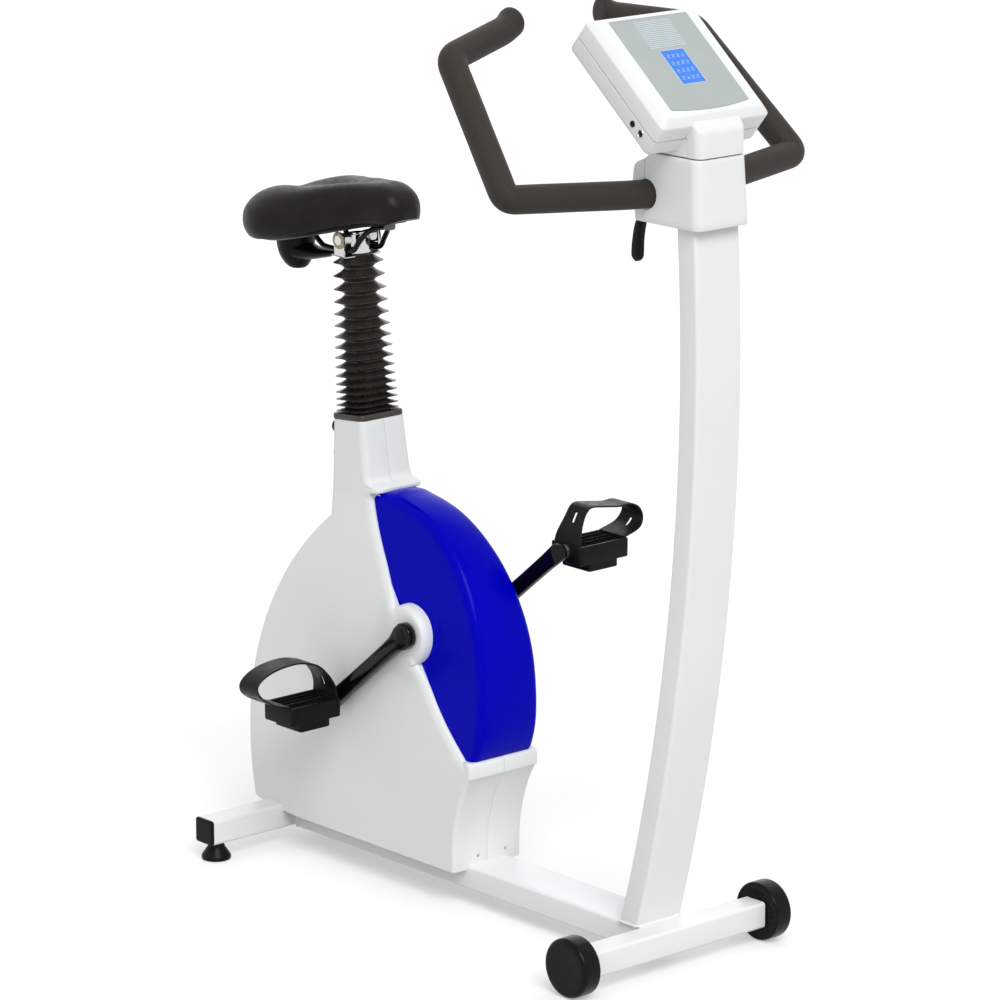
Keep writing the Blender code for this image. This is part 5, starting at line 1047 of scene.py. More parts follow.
def housing_levels():
    levels = list(np.arange(HOUSING_LOW, 0.155, 0.0055)) + [0.155, 0.159, 0.163, 0.166]
    levels += [z for z, _ in FRONT_LEDGE[1:]] + [0.19005, 0.1915, 0.194, 0.197, 0.201]
    levels += list(np.arange(0.206, 0.262, 0.005)) + list(np.arange(0.262, 0.402, 0.0035))
    levels += list(np.arange(0.402, 0.440, 0.005)) + list(np.arange(0.440, 0.456, 0.001))
    levels += list(np.arange(0.456, 0.4850, 0.002)) + [0.4851]
    levels += list(np.arange(0.4854, 0.4972, 0.0004)) + list(np.arange(0.498, 0.508, 0.002))
    levels += list(np.arange(0.509, 0.562, 0.005)) + [0.5625, 0.566, 0.5690, 0.5715]
    return sorted(levels)


def housing_halves():
    rows = []
    for inset, z in ((0.003, 0.0560), (0.003, HOUSING_LOW), (0.0006, HOUSING_LOW)):
        rows.append(housing_row(z, inset))
    rows[0] = [Vector((p.x, p.y, max(p.z, tail_low(p.x) + 0.010))) for p in rows[0]]
    rows += [housing_row(z) for z in housing_levels()]
    rows[1:] = [[Vector((p.x, p.y, max(p.z, tail_low(p.x)))) for p in row] for row in rows[1:]]
    rows = [[Vector((p.x, p.y, min(p.z, neck_top(p.x)))) for p in row] for row in rows]
    shape = grid(rows)
    count = len(rows[0])
    last = (len(rows) - 1) * count
    shape[1].append(tuple(range(last, last + count)))
    for side, name in ((1, "left"), (-1, "right")):
        half = shape if side > 0 else mirrored(shape)
        make("shell_" + name, half, "white_plastic", "frame", stands_for=("housing_" + name,), angle=38)
        boss_ring(side, name)


RING = Curve((((0.0120, 0.0586), (0.0220, 0.0585), (0.0270, 0.0580), (0.0310, 0.0570), (0.0340, 0.0555),
               (0.0358, 0.0534), (0.0369, 0.0510), (0.0375, 0.0480), (0.0378, 0.0430)), 4))
RING_RADII = (0.0120, 0.0200, 0.0230, 0.0250, 0.0270, 0.0285, 0.0298, 0.0310, 0.0321, 0.0331, 0.0340,
              0.0347, 0.0354, 0.0360, 0.0365, 0.0369, 0.0372, 0.0375, 0.0377, 0.0378)


def boss_ring(side, name):
    """Round boss at the crank: a crisp lip over the cover, and flush with the side behind it."""
    rings = []
    start = Vector((EDGE_UPPER[0][1], EDGE_UPPER[0][0]))
    end = Vector((EDGE_LOWER[-1][1], EDGE_LOWER[-1][0]))
    run = (end - start).normalized()
    ahead = Vector((-run.y, run.x))
    for radius in RING_RADII:
        ring = []
        share = ease((radius - 0.020) / (RIM_R - 0.020))
        for i in range(96):
            a = 2 * pi * i / 96
            x = RIM_X * share + radius * cos(a)
            z = mix(CRANK_Z, RIM_Z, share) + radius * sin(a)
            past = (Vector((x, z)) - start).dot(ahead)
            half = half_line(z)
            swell, _ = hill(x, z, half)
            y = mix(half + swell - 0.0002, RING(radius), ease((past + 0.003) / 0.007))
            ring.append(Vector((x, side * y, z)))
        rings.append(ring)
    hole = [Vector((p.x, side * 0.052, p.z)) for p in rings[0]]
    make("boss_" + name, loft([hole] + rings, caps=False), "white_plastic", "frame", angle=60)


def cover_section(x, z, turn, depth):
    """Half section of the cover from its edge on the side to the middle, y above zero."""
    inward = Vector((-cos(turn), 0, -sin(turn)))
    start = Vector((x, 0, z))
    crown = COVER_CROWN * (0.35 * ease((z - COVER_LOW) / 0.03) + 0.65 * ease((z - 0.32) / 0.14))
    crown *= ease((x + 0.100) / 0.03)

    def at(t, y_of):
        p = start + inward * t
        side = half_line(min(max(p.z, 0.05), 0.57)) - COVER_STEP
        p.y = y_of(side)
        if t < COVER_R:
            p -= inward * crown * (1 - t / COVER_R) * (1 - (p.y / side) ** 2)
        return p

    limit = min(depth, COVER_R)
    row = [at(depth, lambda side: side - 0.004 - max(0.0, COVER_R - depth))]
    for step in range(14):
        t = mix(depth, limit, step / 14)
        row.append(at(t, lambda side: side if depth >= COVER_R else
                      side - COVER_R + sqrt(COVER_R ** 2 - (COVER_R - limit) ** 2)))
    most = acos(1 - limit / COVER_R)
    for step in range(11):
        a = most * (1 - step / 10)
        row.append(at(COVER_R * (1 - cos(a)), lambda side: side - COVER_R + COVER_R * sin(a)))
    for share in (0.75, 0.5, 0.25, 0.0):
        row.append(at(0.0, lambda side: (side - COVER_R) * share))
    return row


def cover():
    """The blue cover, sliced across its front line."""
    zs = list(np.arange(COVER_LOW + GAP, COVER_HIGH, FINE_STEP))
    path = [Vector((front_line(z), z)) for z in zs] + [Vector((front_line(COVER_HIGH), COVER_HIGH))]
    path += [Vector(p) for p in UNDER_SHELF]
    lengths = [0.0]
    for a, b in zip(path, path[1:]):
        lengths.append(lengths[-1] + (b - a).length)
    total = lengths[-1]
    bend_start = float(np.interp(COVER_TURN_Z, [p.y for p in path], lengths))
    stations = [total * i / COVER_SLICES for i in range(COVER_SLICES + 1)]
    stations += [total - d for d in (0.0002, 0.0006, 0.0012, 0.0020, 0.0030, 0.0042)]
    rows = []
    for s in sorted(stations):
        x = float(np.interp(s, lengths, [p.x for p in path]))
        z = float(np.interp(s, lengths, [p.y for p in path]))
        turn = radians(COVER_TURN) * max(0.0, (s - bend_start) / (total - bend_start))
        depth = 0.0
        while depth < COVER_DEEP:
            px = x - cos(turn) * depth
            pz = z - sin(turn) * depth
            if px - edge_line(pz) <= EDGE_GAP or pz < COVER_LOW + FINE_STEP:
                break
            depth += FINE_STEP
        rows.append(cover_section(x, z, turn, max(depth, FINE_STEP)))
    whole = [row + [Vector((p.x, -p.y, p.z)) for p in reversed(row[:-1])] for row in rows]
    first = [Vector((p.x - 0.003, p.y * 0.95, p.z + 0.0001)) for p in whole[0]]
    last = [Vector((p.x + 0.0002, p.y * 0.98, p.z - 0.003)) for p in whole[-1]]
    make("cover_shell", grid([first] + whole + [last]), "blue_plastic", "frame",
         stands_for=("front_cover",), angle=45)


# Seat

def seat_axes():
    lean = radians(SEAT_LEAN)
    return (Vector((SEAT_X, 0, SEAT_Z)), Vector((-sin(lean), 0, cos(lean))),
            Vector((cos(lean), 0, sin(lean))), Vector((0, 1, 0)))


def bellows():
    origin, up, ahead, left = seat_axes()

    def ring(tip, at, fan):
        share = min(max((at - FLANGE_T) / (RIB_END - FLANGE_T), 0.0), 1.0)
        half_x, half_y = (mix(low, RIB_HALF_HIGH, share) - mix(deep, RIB_DEEP_HIGH, share) * (1 - tip)
                          for low, deep in zip(RIB_HALF_LOW, RIB_DEEP_LOW))
        corner = min(half_x, half_y) * mix(0.42, 0.98, share)
        outline = rounded_rect(2 * half_x, 2 * half_y, corner, 10)
        return place(outline, origin + up * (at + fan), ahead, left)

    flange = [(0.0003, 0.0006), (0.0012, 0.0), (FLANGE_T - 0.0018, 0.0), (FLANGE_T - 0.0006, 0.0008),
              (FLANGE_T, 0.0026), (FLANGE_T + 0.0002, 0.0080)]
    rings = []
    for at, inset in flange:
        outline = rounded_rect(2 * (FLANGE_HALF[0] - inset), 2 * (FLANGE_HALF[1] - inset),
                               FLANGE_CORNER - inset * 0.5, 10)
        rings.append(place(outline, origin + up * at, ahead, left))
    tops = []
    for rib in range(RIBS + 1):
        share = rib / RIBS
        tops.append(FLANGE_T + (RIB_END - FLANGE_T) * (0.42 * share + 0.58 * share ** 1.75))
    for low, high in zip(tops, tops[1:]):
        for p in RIB_SHARES:
            t = 1 - abs(2 * p - 1)
            out = (0.985 * t ** 1.5 if t < 0.94
                   else mix(0.90, 1.0, sqrt(max(0.0, 1 - ((1 - t) / 0.06) ** 2))))
            rings.append(ring(out, mix(low, high, p) + 0.0004, -RIB_DROOP * out))
    rings.append(ring(0.0, RIB_END - 0.0015, 0.0))
    rings.append(ring(0.05, BELLOWS_LENGTH - 0.0010, 0.0))
    rings.append(ring(0.02, BELLOWS_LENGTH, 0.0))
    count = len(rings[0])
    for at in (BELLOWS_LENGTH, BELLOWS_LENGTH - 0.01, 0.0003):
        rings.append(place(circle(SLEEVE_BORE, count), origin + up * at, ahead, left))
    piece = make("sleeve", loft(rings, closed=True), "bellows_rubber", None,
                 stands_for=("bellows",), angle=75)
    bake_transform(piece)


def seat_lever():
    centre = Vector((NECK_REAR_X, 0, SEAT_LEVER_Z))
    hub = [(0.0026, 0.0142), (0.0026, -0.0003), (0.0080, -0.0003), (0.0090, -0.0010), (0.0095, -0.0024),
           (0.0095, -0.0235), (0.0090, -0.0262), (0.0084, -0.0318), (0.0074, -0.0331), (0.0055, -0.0338),
           (0.0, -0.0338)]
    shape = turned(hub, "X", centre, 48)
    levels = ((0.0050, 0.0040, 0.0030), (0.0030, 0.0060, 0.0040), (-0.0060, 0.0062, 0.0041),
              (-0.020, 0.0065, 0.0042), (-0.030, 0.0073, 0.0046), (-0.0355, 0.0074, 0.0047),
              (-0.0385, 0.0066, 0.0042), (-0.0400, 0.0045, 0.0028))
    rings = [place([(a * half_y / 0.01, b * half_x / 0.01) for a, b in rounded_rect(0.02, 0.02, 0.0085, 6)],
                   centre + Vector((-SEAT_LEVER_OUT, 0, z)), (0, 1, 0), (1, 0, 0))
             for z, half_y, half_x in levels]
    make("clamp_lever", joined(shape, loft(rings)), "black_plastic", "seat_lever",
         stands_for=("seat_lever",), angle=40)


def saddle_hinge():
    origin, up, _, _ = seat_axes()
    on_post = origin + up * (POST_TOP + HINGE_RISE)
    return Vector((on_post.x, 0, on_post.z))


saddle_top = Curve((SADDLE_TOP, 6))
saddle_low = Curve((SADDLE_LOW, 6))
saddle_width = Curve((SADDLE_WIDTH, 6))
saddle_lobe = Curve((((0.0, 0.0), (0.25, 1.0), (0.55, 0.6), (0.8, 0.0), (1.0, 0.0)), 6))


def saddle_half(share):
    return saddle_width(share) * SADDLE_HALF / WIDTH_TABLE_MOST


def saddle_section(share, sides=72):
    half = saddle_half(share)
    x = SADDLE_X - SADDLE_TIP_IN - (SADDLE_LENGTH - SADDLE_TIP_IN - SADDLE_TAIL_IN) * (1 - share)
    lobe = max(0.0, saddle_lobe(share))
    low = saddle_low(share)
    top = saddle_top(share)
    ring = []
    for i in range(sides):
        angle = 2 * pi * i / sides
        across = cos(angle)
        up = sin(angle)
        if up >= 0:
            crown = max(0.0, 1 - abs(across) ** 3.2) ** 0.46
            rise = low + (top - low) * (0.40 + 0.60 * crown)
            dip = 0.008 * lobe * max(0.0, 1 - (across / 0.36) ** 2) ** 1.5
            bump = 0.0060 * lobe * max(0.0, 1 - ((abs(across) - 0.60) / 0.38) ** 2) ** 1.5
            z = rise - dip + bump
            y = half * across
        else:
            t = min(1.0, -up / 0.5)
            tuck = 1 - 0.08 * t ** 3
            z = low + (top - low) * 0.40 * (1 - t) ** 0.9
            y = half * tuck * (copysign(1.0, across) if t < 1 else across / 0.866)
        ring.append(Vector((x, y, z)))
    return ring


def saddle():
    shares = [0.5 - 0.5 * cos(pi * i / 70) for i in range(71)]
    rings = [saddle_section(share) for share in shares]
    piece = make("saddle_cover", loft(rings), "saddle_vinyl", "saddle", stands_for=("saddle_cushion",),
                 angle=80)


def saddle_under():
    hinge = saddle_hinge()
    plate = []
    for i in range(24):
        share = mix(0.08, 0.84, i / 23)
        half = saddle_half(share) * 0.84 - 0.002
        low = saddle_low(share)
        x = SADDLE_X - SADDLE_LENGTH * (1 - share)
        top = low - 0.0004
        plate.append([Vector((x, -half, top)), Vector((x, half, top)), Vector((x, half * 0.97, top - 0.002)),
                      Vector((x, half * 0.90, top - 0.0038)), Vector((x, -half * 0.90, top - 0.0038)),
                      Vector((x, -half * 0.97, top - 0.002))])
    pouch = []
    levels = smooth_line([(0.7855, -0.2800, 0.0270), (0.778, -0.2805, 0.0258), (0.765, -0.2805, 0.0245),
                          (0.752, -0.2795, 0.0222), (0.742, -0.2780, 0.0172), (0.7355, -0.2765, 0.0110),
                          (0.7335, -0.2760, 0.0040)], 5)
    for p in levels:
        half_y = p.z * 0.925 + 0.0008
        pouch.append([Vector((p.y + p.z * cos(a), half_y * sin(a), p.x))
                      for a in (2 * pi * i / 48 for i in range(48))])
    pouch.insert(0, [Vector((p.x, p.y, 0.7885)) for p in pouch[0]])
    tongue = []
    line = smooth_line(((-0.268, 0.757, 0.013), (-0.240, 0.7575, 0.0075), (-0.2150, 0.7610, 0.0048),
                        (-0.1990, 0.7645, 0.0032)), 5)
    widths = np.interp(range(16), (0, 5, 10, 15), (0.020, 0.014, 0.010, 0.007))
    for p, half_y in zip(line, widths):
        tongue.append([Vector((p.x, half_y * cos(a), p.y + p.z * sin(a)))
                       for a in (2 * pi * i / 24 for i in range(24))])
    make("saddle_pan", joined(loft(plate), loft(pouch), loft(tongue)), "black_plastic", "saddle",
         stands_for=("saddle_base",), angle=45)

    floor = BRACKET_Z + BRACKET_T + GAP + RAIL_R
    path = [(-0.2140, RAIL_Y * 1.12, 0.7880), (-0.2060, RAIL_Y * 1.06, floor + 0.0050),
            (-0.1960, RAIL_Y * 1.01, floor), (hinge.x, RAIL_Y, floor), (-0.1440, RAIL_Y, floor + 0.0020),
            (-0.1345, RAIL_Y * 0.93, floor + 0.0135), (-0.1240, RAIL_Y * 0.79, 0.8010),
            (-0.1155, RAIL_Y * 0.49, 0.8075), (-0.1125, 0.0, 0.8080)]
    half = smooth_line(path, 7)
    wire = half + [Vector((p.x, -p.y, p.z)) for p in reversed(half[:-1])]
    make("rails", loft(sweep(wire, [RAIL_R] * len(wire), 16)), "black_paint", "saddle",
         stands_for=("saddle_rails",), angle=60)
    seat = saddle_low(1 - (SADDLE_X - BUMPER_X) / SADDLE_LENGTH) - 0.0005
    profile = [(0.0, seat - 0.0098), (0.0052, seat - 0.0098), (0.0066, seat - 0.0092),
               (0.0072, seat - 0.0078), (0.0074, seat - 0.0020), (0.0075, seat), (0.0, seat)]
    make("bumper", turned(profile, "Z", (BUMPER_X, 0, 0), 40), "grey_rubber", "saddle",
         stands_for=("saddle_bumper",), angle=40)


def clamp_parts():
    hinge = saddle_hinge()
    plate = rounded_rect(0.030, 2 * EAR_OUT, 0.003, 6)
    levels = ((BRACKET_Z, 0.0006), (BRACKET_Z + 0.0006, 0.0), (BRACKET_Z + 0.0016, 0.0),
              (BRACKET_Z + 0.0022, 0.0006))
    tray = [place([(a * (1 - cut / 0.02), b * (1 - cut / 0.029)) for a, b in plate],
                  (hinge.x - 0.001, 0, z), (1, 0, 0), (0, 1, 0)) for z, cut in levels]
    ears = []
    for side in (-1, 1):
        ear = [(-0.0085, BRACKET_Z + 0.001), (0.0085, BRACKET_Z + 0.001), (EAR_R, hinge.z - 0.002)]
        ear += [(EAR_R * cos(a), hinge.z + EAR_R * sin(a)) for a in (pi * i / 14 for i in range(1, 14))]
        ear += [(-EAR_R, hinge.z - 0.002)]
        ears.append(loft([place([(x * k, BRACKET_Z + (z - BRACKET_Z) * k) for x, z in ear],
                                (hinge.x, side * at, 0), (1, 0, 0), (0, 0, 1))
                          for at, k in ((EAR_OUT - 0.0024, 1.0), (EAR_OUT - 0.0004, 1.0), (EAR_OUT, 0.985))]))
    make("clamp_bracket", joined(loft(tray), *ears), "chrome", "saddle",
         stands_for=("rail_bracket",), angle=35)
    for side, name in ((-1, "right"), (1, "left")):
        face = EAR_OUT
        teeth = []
        for r, at in ((0.0105, face + 0.0002), (0.0105, face + 0.0010), (0.0098, face + 0.0014),
                      (0.0050, face + 0.0014)):
            ring = []
            for i in range(72):
                out = r * (1 + (0.035 if i % 2 else 0.0))
                a = 2 * pi * i / 72
                ring.append(Vector((hinge.x + out * cos(a), side * at, hinge.z + out * sin(a))))
            teeth.append(ring)
        make("washer_" + name, loft(teeth), "zinc", "saddle", angle=30)
        nut = [place(circle(r, 6, 0.3), (hinge.x, side * (face + at), hinge.z), (1, 0, 0), (0, 0, 1))
               for r, at in ((0.0066, 0.0013), (0.0066, 0.0013), (0.0064, 0.0016))]
        make("nut_" + name, loft(nut), "chrome", "post", angle=30)


# Head, handlebar and console

head_rear = Curve((((0.8890, 0.3775), (0.8960, 0.3765), (0.9160, 0.3725), (0.9376, 0.3703),
                    (0.9500, 0.3715), (0.9560, 0.3735), (0.9600, 0.3775), (0.9640, 0.3870),
                    (0.9680, 0.3935), (0.9725, 0.3975)), 6))


def head_ring(z, inset=0.0):
    share = (z - HEAD_Z0) / (HEAD_Z1 - HEAD_Z0)
    rear = head_rear(z) + inset
    front = mix(HEAD_FRONT, HEAD_FRONT_TOP, share) - inset
    half = mix(HEAD_HALF, HEAD_HALF_TOP, share) - inset
    outline = []
    for quarter, (edge, sy) in enumerate(((front, 1), (rear, 1), (rear, -1), (front, -1))):
        corner = max((HEAD_FRONT_R if edge == front else HEAD_REAR_R) - inset, 0.001)
        middle_x = edge - corner if edge == front else edge + corner
        for step in range(9):
            angle = (quarter + step / 8) * pi / 2
            outline.append((middle_x + corner * cos(angle), sy * (half - corner) + corner * sin(angle)))
    return place(outline, (0, 0, z), (1, 0, 0), (0, 1, 0))


def head():
    levels = [(HEAD_Z0, 0.0012), (HEAD_Z0 + 0.0004, 0.0004), (HEAD_Z0 + 0.0012, 0.0)]
    levels += [(z, 0.0) for z in (0.902, 0.912, 0.925, 0.938, 0.950, 0.9545, 0.958, 0.960, 0.962,
                                  0.9645, 0.9675, HEAD_Z1 - 0.0016)]
    levels += [(HEAD_Z1 - 0.0006, 0.0004), (HEAD_Z1 - 0.0001, 0.0014), (HEAD_Z1, 0.0030)]
    rings = [head_ring(z, inset) for z, inset in levels]
    inner = [head_ring(z, 0.0022) for z in (HEAD_Z0 - 0.004, HEAD_Z1 - 0.0022)]
    for name, low_x, high_x in (("rear", 0.30, SEAM_X - 0.0004), ("front", SEAM_X + 0.0004, 0.52)):
        piece = make("head_shell_" + name, loft(rings), "white_plastic", "frame",
                     stands_for=("head_" + name,), angle=35)
        carve(piece, loft(inner))
        box = prism([(low_x, -0.1), (high_x, -0.1), (high_x, 0.1), (low_x, 0.1)], "Z", 0.85, 1.02)
        carve(piece, box, "INTERSECT")
        carve(piece, prism(circle(FOAM_R + 0.0010, 64), "Y", -0.06, 0.06, (BAR_X, 0, BAR_Z)))
        if name == "rear":
            notch = prism([(HEAD_REAR - 0.004, LEVER_Y - 0.0068), (HEAD_REAR + 0.0070, LEVER_Y - 0.0068),
                           (HEAD_REAR + 0.0070, LEVER_Y + 0.0068), (HEAD_REAR - 0.004, LEVER_Y + 0.0068)],
                          "Z", HEAD_Z0 - 0.004, LEVER_Z + 0.0085)
            carve(piece, notch)
        else:
            carve(piece, prism(circle(PIVOT_R + 0.0008, 48), "Z", HEAD_Z1 - 0.02, HEAD_Z1 + 0.02,
                               (PIVOT_X, 0, 0)))
        bevel(piece, 0.0004, 2, 50)


def head_lever():
    centre = Vector((LEVER_X, LEVER_Y, LEVER_Z))
    half = LEVER_T / 2
    hub = turned([(0.0030, -half), (0.0046, -half), (0.0053, -half + 0.0004), (0.0056, -half + 0.0012),
                  (0.0056, half - 0.0012), (0.0053, half - 0.0004), (0.0046, half), (0.0030, half)],
                 "Y", centre, 40, closed=True)
    table = smooth_line(((-0.0020, -0.0006, 0.0036), (-0.012, -0.0058, 0.0052), (-0.030, -0.0095, 0.0056),
                         (-0.044, -0.0105, 0.0062), (-0.0500, -0.0105, 0.0058), (-0.0535, -0.0105, 0.0047),
                         (-0.0555, -0.0105, 0.0028), (-0.0560, -0.0105, 0.0010)), 4)
    rings = []
    for p in table:
        end = ease((-p.x - 0.050) / 0.006)
        width = LEVER_T * mix(1.0, 0.55, end)
        outline = [(a * p.z / 0.01, b * width / 0.02) for a, b in rounded_rect(0.02, 0.02, 0.0050, 6)]
        rings.append(place(outline, centre + Vector((p.y, 0, p.x)), (1, 0, 0), (0, 1, 0)))
    make("tilt_lever", joined(hub, loft(rings)), "black_plastic", "head_lever",
         stands_for=("head_lever",), angle=50)


def grips():
    for side, name in ((-1, "right"), (1, "left")):
        def at(point):
            return (point[0], side * point[1], point[2])
        corners = [(BAR_X, side * FOAM_START, BAR_Z), (BAR_X, side * ARM_BEND_Y, BAR_Z), at(ARM_CORNER),
                   at(TOP_CORNER), at(BAR_END)]
        path = bend_path(corners, BEND_CUTS, 12)
        fine = []
        for a, b in zip(path, path[1:]):
            steps = max(1, int((b - a).length / 0.006))
            fine += [a.lerp(b, s / steps) for s in range(steps)]
        end = path[-1]
        run = (path[-1] - path[-2]).normalized()
        fine = [p for p in fine if (end - p).dot(run) > 0.032 or (end - p).length > 0.05]
        flare = ((0.028, 1.00, 0.0), (0.022, 0.995, 0.0), (0.016, 0.99, 0.0003), (0.011, 1.00, 0.0012),
                 (0.006, 1.03, 0.0028), (0.002, 1.06, 0.0044), (-0.0015, 1.05, 0.0052),
                 (-0.0035, 0.98, 0.0052), (-0.0046, 0.84, 0.0046), (-0.0050, 0.62, 0.0036),
                 (-0.0048, 0.30, 0.0024), (-0.0046, 0.05, 0.0020))
        radii = [FOAM_R] * len(fine)
        lift = [0.0] * len(fine)
        for back, share, up in flare:
            fine.append(end - run * back)
            radii.append(FOAM_R * share)
            lift.append(up)
        for i in range(len(radii)):
            radii[i] *= 1 + 0.003 * sin(i * 0.5) * (1 if i < len(radii) - 12 else 0)
        rings = sweep(fine, radii, 40)
        rings = [[p + Vector((0, 0, up)) for p in ring] for ring, up in zip(rings, lift)]
        piece = make("grip_foam_" + name, loft(rings), "foam", "bar", stands_for=("grip_" + name,), angle=70)


def console_axes():
    tilt = radians(CONSOLE_TILT)
    return (Vector((CONSOLE_TOP[0], 0, CONSOLE_TOP[1])), Vector((cos(tilt), 0, -sin(tilt))),
            Vector((0, 1, 0)), Vector((sin(tilt), 0, cos(tilt))))


def slab(levels, corner=0.006, steps=8):
    origin, down, across, out = console_axes()
    rings = []
    for depth, inset in levels:
        outline = rounded_rect(CONSOLE_L - 2 * inset, 2 * (CONSOLE_HALF - inset),
                               max(corner - inset * 0.3, 0.002), steps)
        rings.append(place(outline, origin + down * (CONSOLE_L / 2) + out * depth, down, across))
    return loft(rings)


def console_nose():
    """Front of the console's foot; its top runs on in the slope of the face."""
    front = HEAD_FRONT_TOP + 0.001
    rear = NOSE_REAR_X
    tilt = radians(CONSOLE_TILT)
    slope = tan(tilt)
    face_x = CONSOLE_TOP[0] + CROWN * sin(tilt)
    face_z = CONSOLE_TOP[1] + CROWN * cos(tilt) - NOSE_DROP
    rings = []
    for inset, drop in ((0.0, None), (0.0, 0.0050), (0.0005, 0.0026), (0.0018, 0.0009), (0.0040, 0.0)):
        outline = rounded_rect(front - rear - 2 * inset, 2 * (SKIRT_HALF - inset), 0.010 - inset * 0.5, 8)
        ring = []
        for a, b in outline:
            x = (front + rear) / 2 + a
            z = SKIRT_Z if drop is None else face_z - (x - face_x) * slope - drop
            ring.append(Vector((x, b, z)))
        rings.append(ring)
    return loft(rings)


def panel_outline(grow):
    low, high = PANEL_U[0] - grow, PANEL_U[1] + grow
    half = PANEL_HALF + grow
    r = 0.0015
    points = []
    for step in range(5):
        a = pi / 2 + step / 4 * pi / 2
        points.append((low + r + r * cos(a), half - r + r * sin(a)))
    for step in range(5):
        a = pi + step / 4 * pi / 2
        points.append((low + r + r * cos(a), -half + r + r * sin(a)))
    for step in range(25):
        share = step / 24
        points.append((high - PANEL_BOW * (2 * share - 1) ** 2, -half + 2 * half * share))
    return points


def console():
    origin, down, across, out = console_axes()
    wall = 0.0025
    face = [(-CONSOLE_SEAM + 0.0004, 0.0006), (-CONSOLE_SEAM + 0.0010, 0.0), (-0.0014, 0.0),
            (-0.0004, 0.0002), (0.0006, 0.0010), (0.0016, 0.0020), (CROWN * 0.55, CROWN_IN * 0.52),
            (CROWN * 0.86, CROWN_IN * 0.80), (CROWN * 0.95, CROWN_IN * 0.90), (CROWN, CROWN_IN * 1.06),
            (CROWN, CROWN_IN * 1.2)]
    top = make("console_shell_front", slab(face), "white_plastic", "console",
               stands_for=("console_front",), angle=30)
    inside = slab(((-CONSOLE_SEAM - 0.005, wall), (-wall, wall), (CROWN - wall - 0.001, CROWN_IN + 0.001)))
    carve(top, inside, angle=30)
    carve(top, console_nose(), "UNION", 30)
    cut_x = SKIRT_SEAM_X + 0.0003
    behind = prism([(0.4200, -0.06), (cut_x, -0.06), (cut_x, 0.06), (0.4200, 0.06)],
                   "Z", SKIRT_Z - 0.01, SKIRT_SEAM_Z + 0.0003)
    carve(top, behind, angle=30)
    carve(top, loft([place(panel_outline(0.0004), origin + out * (CROWN + at), down, across)
                     for at in (-0.0012, 0.003)]), angle=30)

    rear = [(-CONSOLE_DEPTH, 0.0050), (-CONSOLE_DEPTH + 0.0006, 0.0028), (-CONSOLE_DEPTH + 0.0018, 0.0012),
            (-CONSOLE_DEPTH + 0.0036, 0.0003), (-CONSOLE_DEPTH + 0.006, 0.0), (-CONSOLE_SEAM - 0.0010, 0.0),
            (-CONSOLE_SEAM - 0.0004, 0.0006)]
    bottom = make("console_shell_rear", slab(rear), "white_plastic", "console",
                  stands_for=("console_rear",), angle=30)
    rear_x = HEAD_REAR + 0.006
    block = prism(rounded_rect(HEAD_FRONT_TOP - rear_x, 2 * SKIRT_HALF, 0.006, 8), "Z", SKIRT_Z,
                  SKIRT_SEAM_Z - 0.0003, ((rear_x + HEAD_FRONT_TOP) / 2, 0, 0))
    carve(bottom, block, "UNION", 30)
    carve(bottom, prism([(SKIRT_SEAM_X - 0.0003, -0.06), (0.52, -0.06), (0.52, 0.06),
                         (SKIRT_SEAM_X - 0.0003, 0.06)], "Z", SKIRT_Z - 0.01, SKIRT_TOP + 0.01), angle=30)
    carve(bottom, prism(circle(PIVOT_R + 0.0004, 40), "Z", SKIRT_Z - 0.01, SKIRT_Z + 0.012,
                        (PIVOT_X, 0, 0)), angle=30)
    for piece in (top, bottom):
        bevel(piece, 0.0007, 3, 40)

    rings = [place(panel_outline(-inset), origin + out * (CROWN + at), down, across)
             for at, inset in ((-0.0011, 0.0), (0.0001, 0.0), (0.0004, 0.0003))]
    make("panel", loft(rings), "grey_panel", "console", stands_for=("console_panel",), angle=30)
    console_marks()


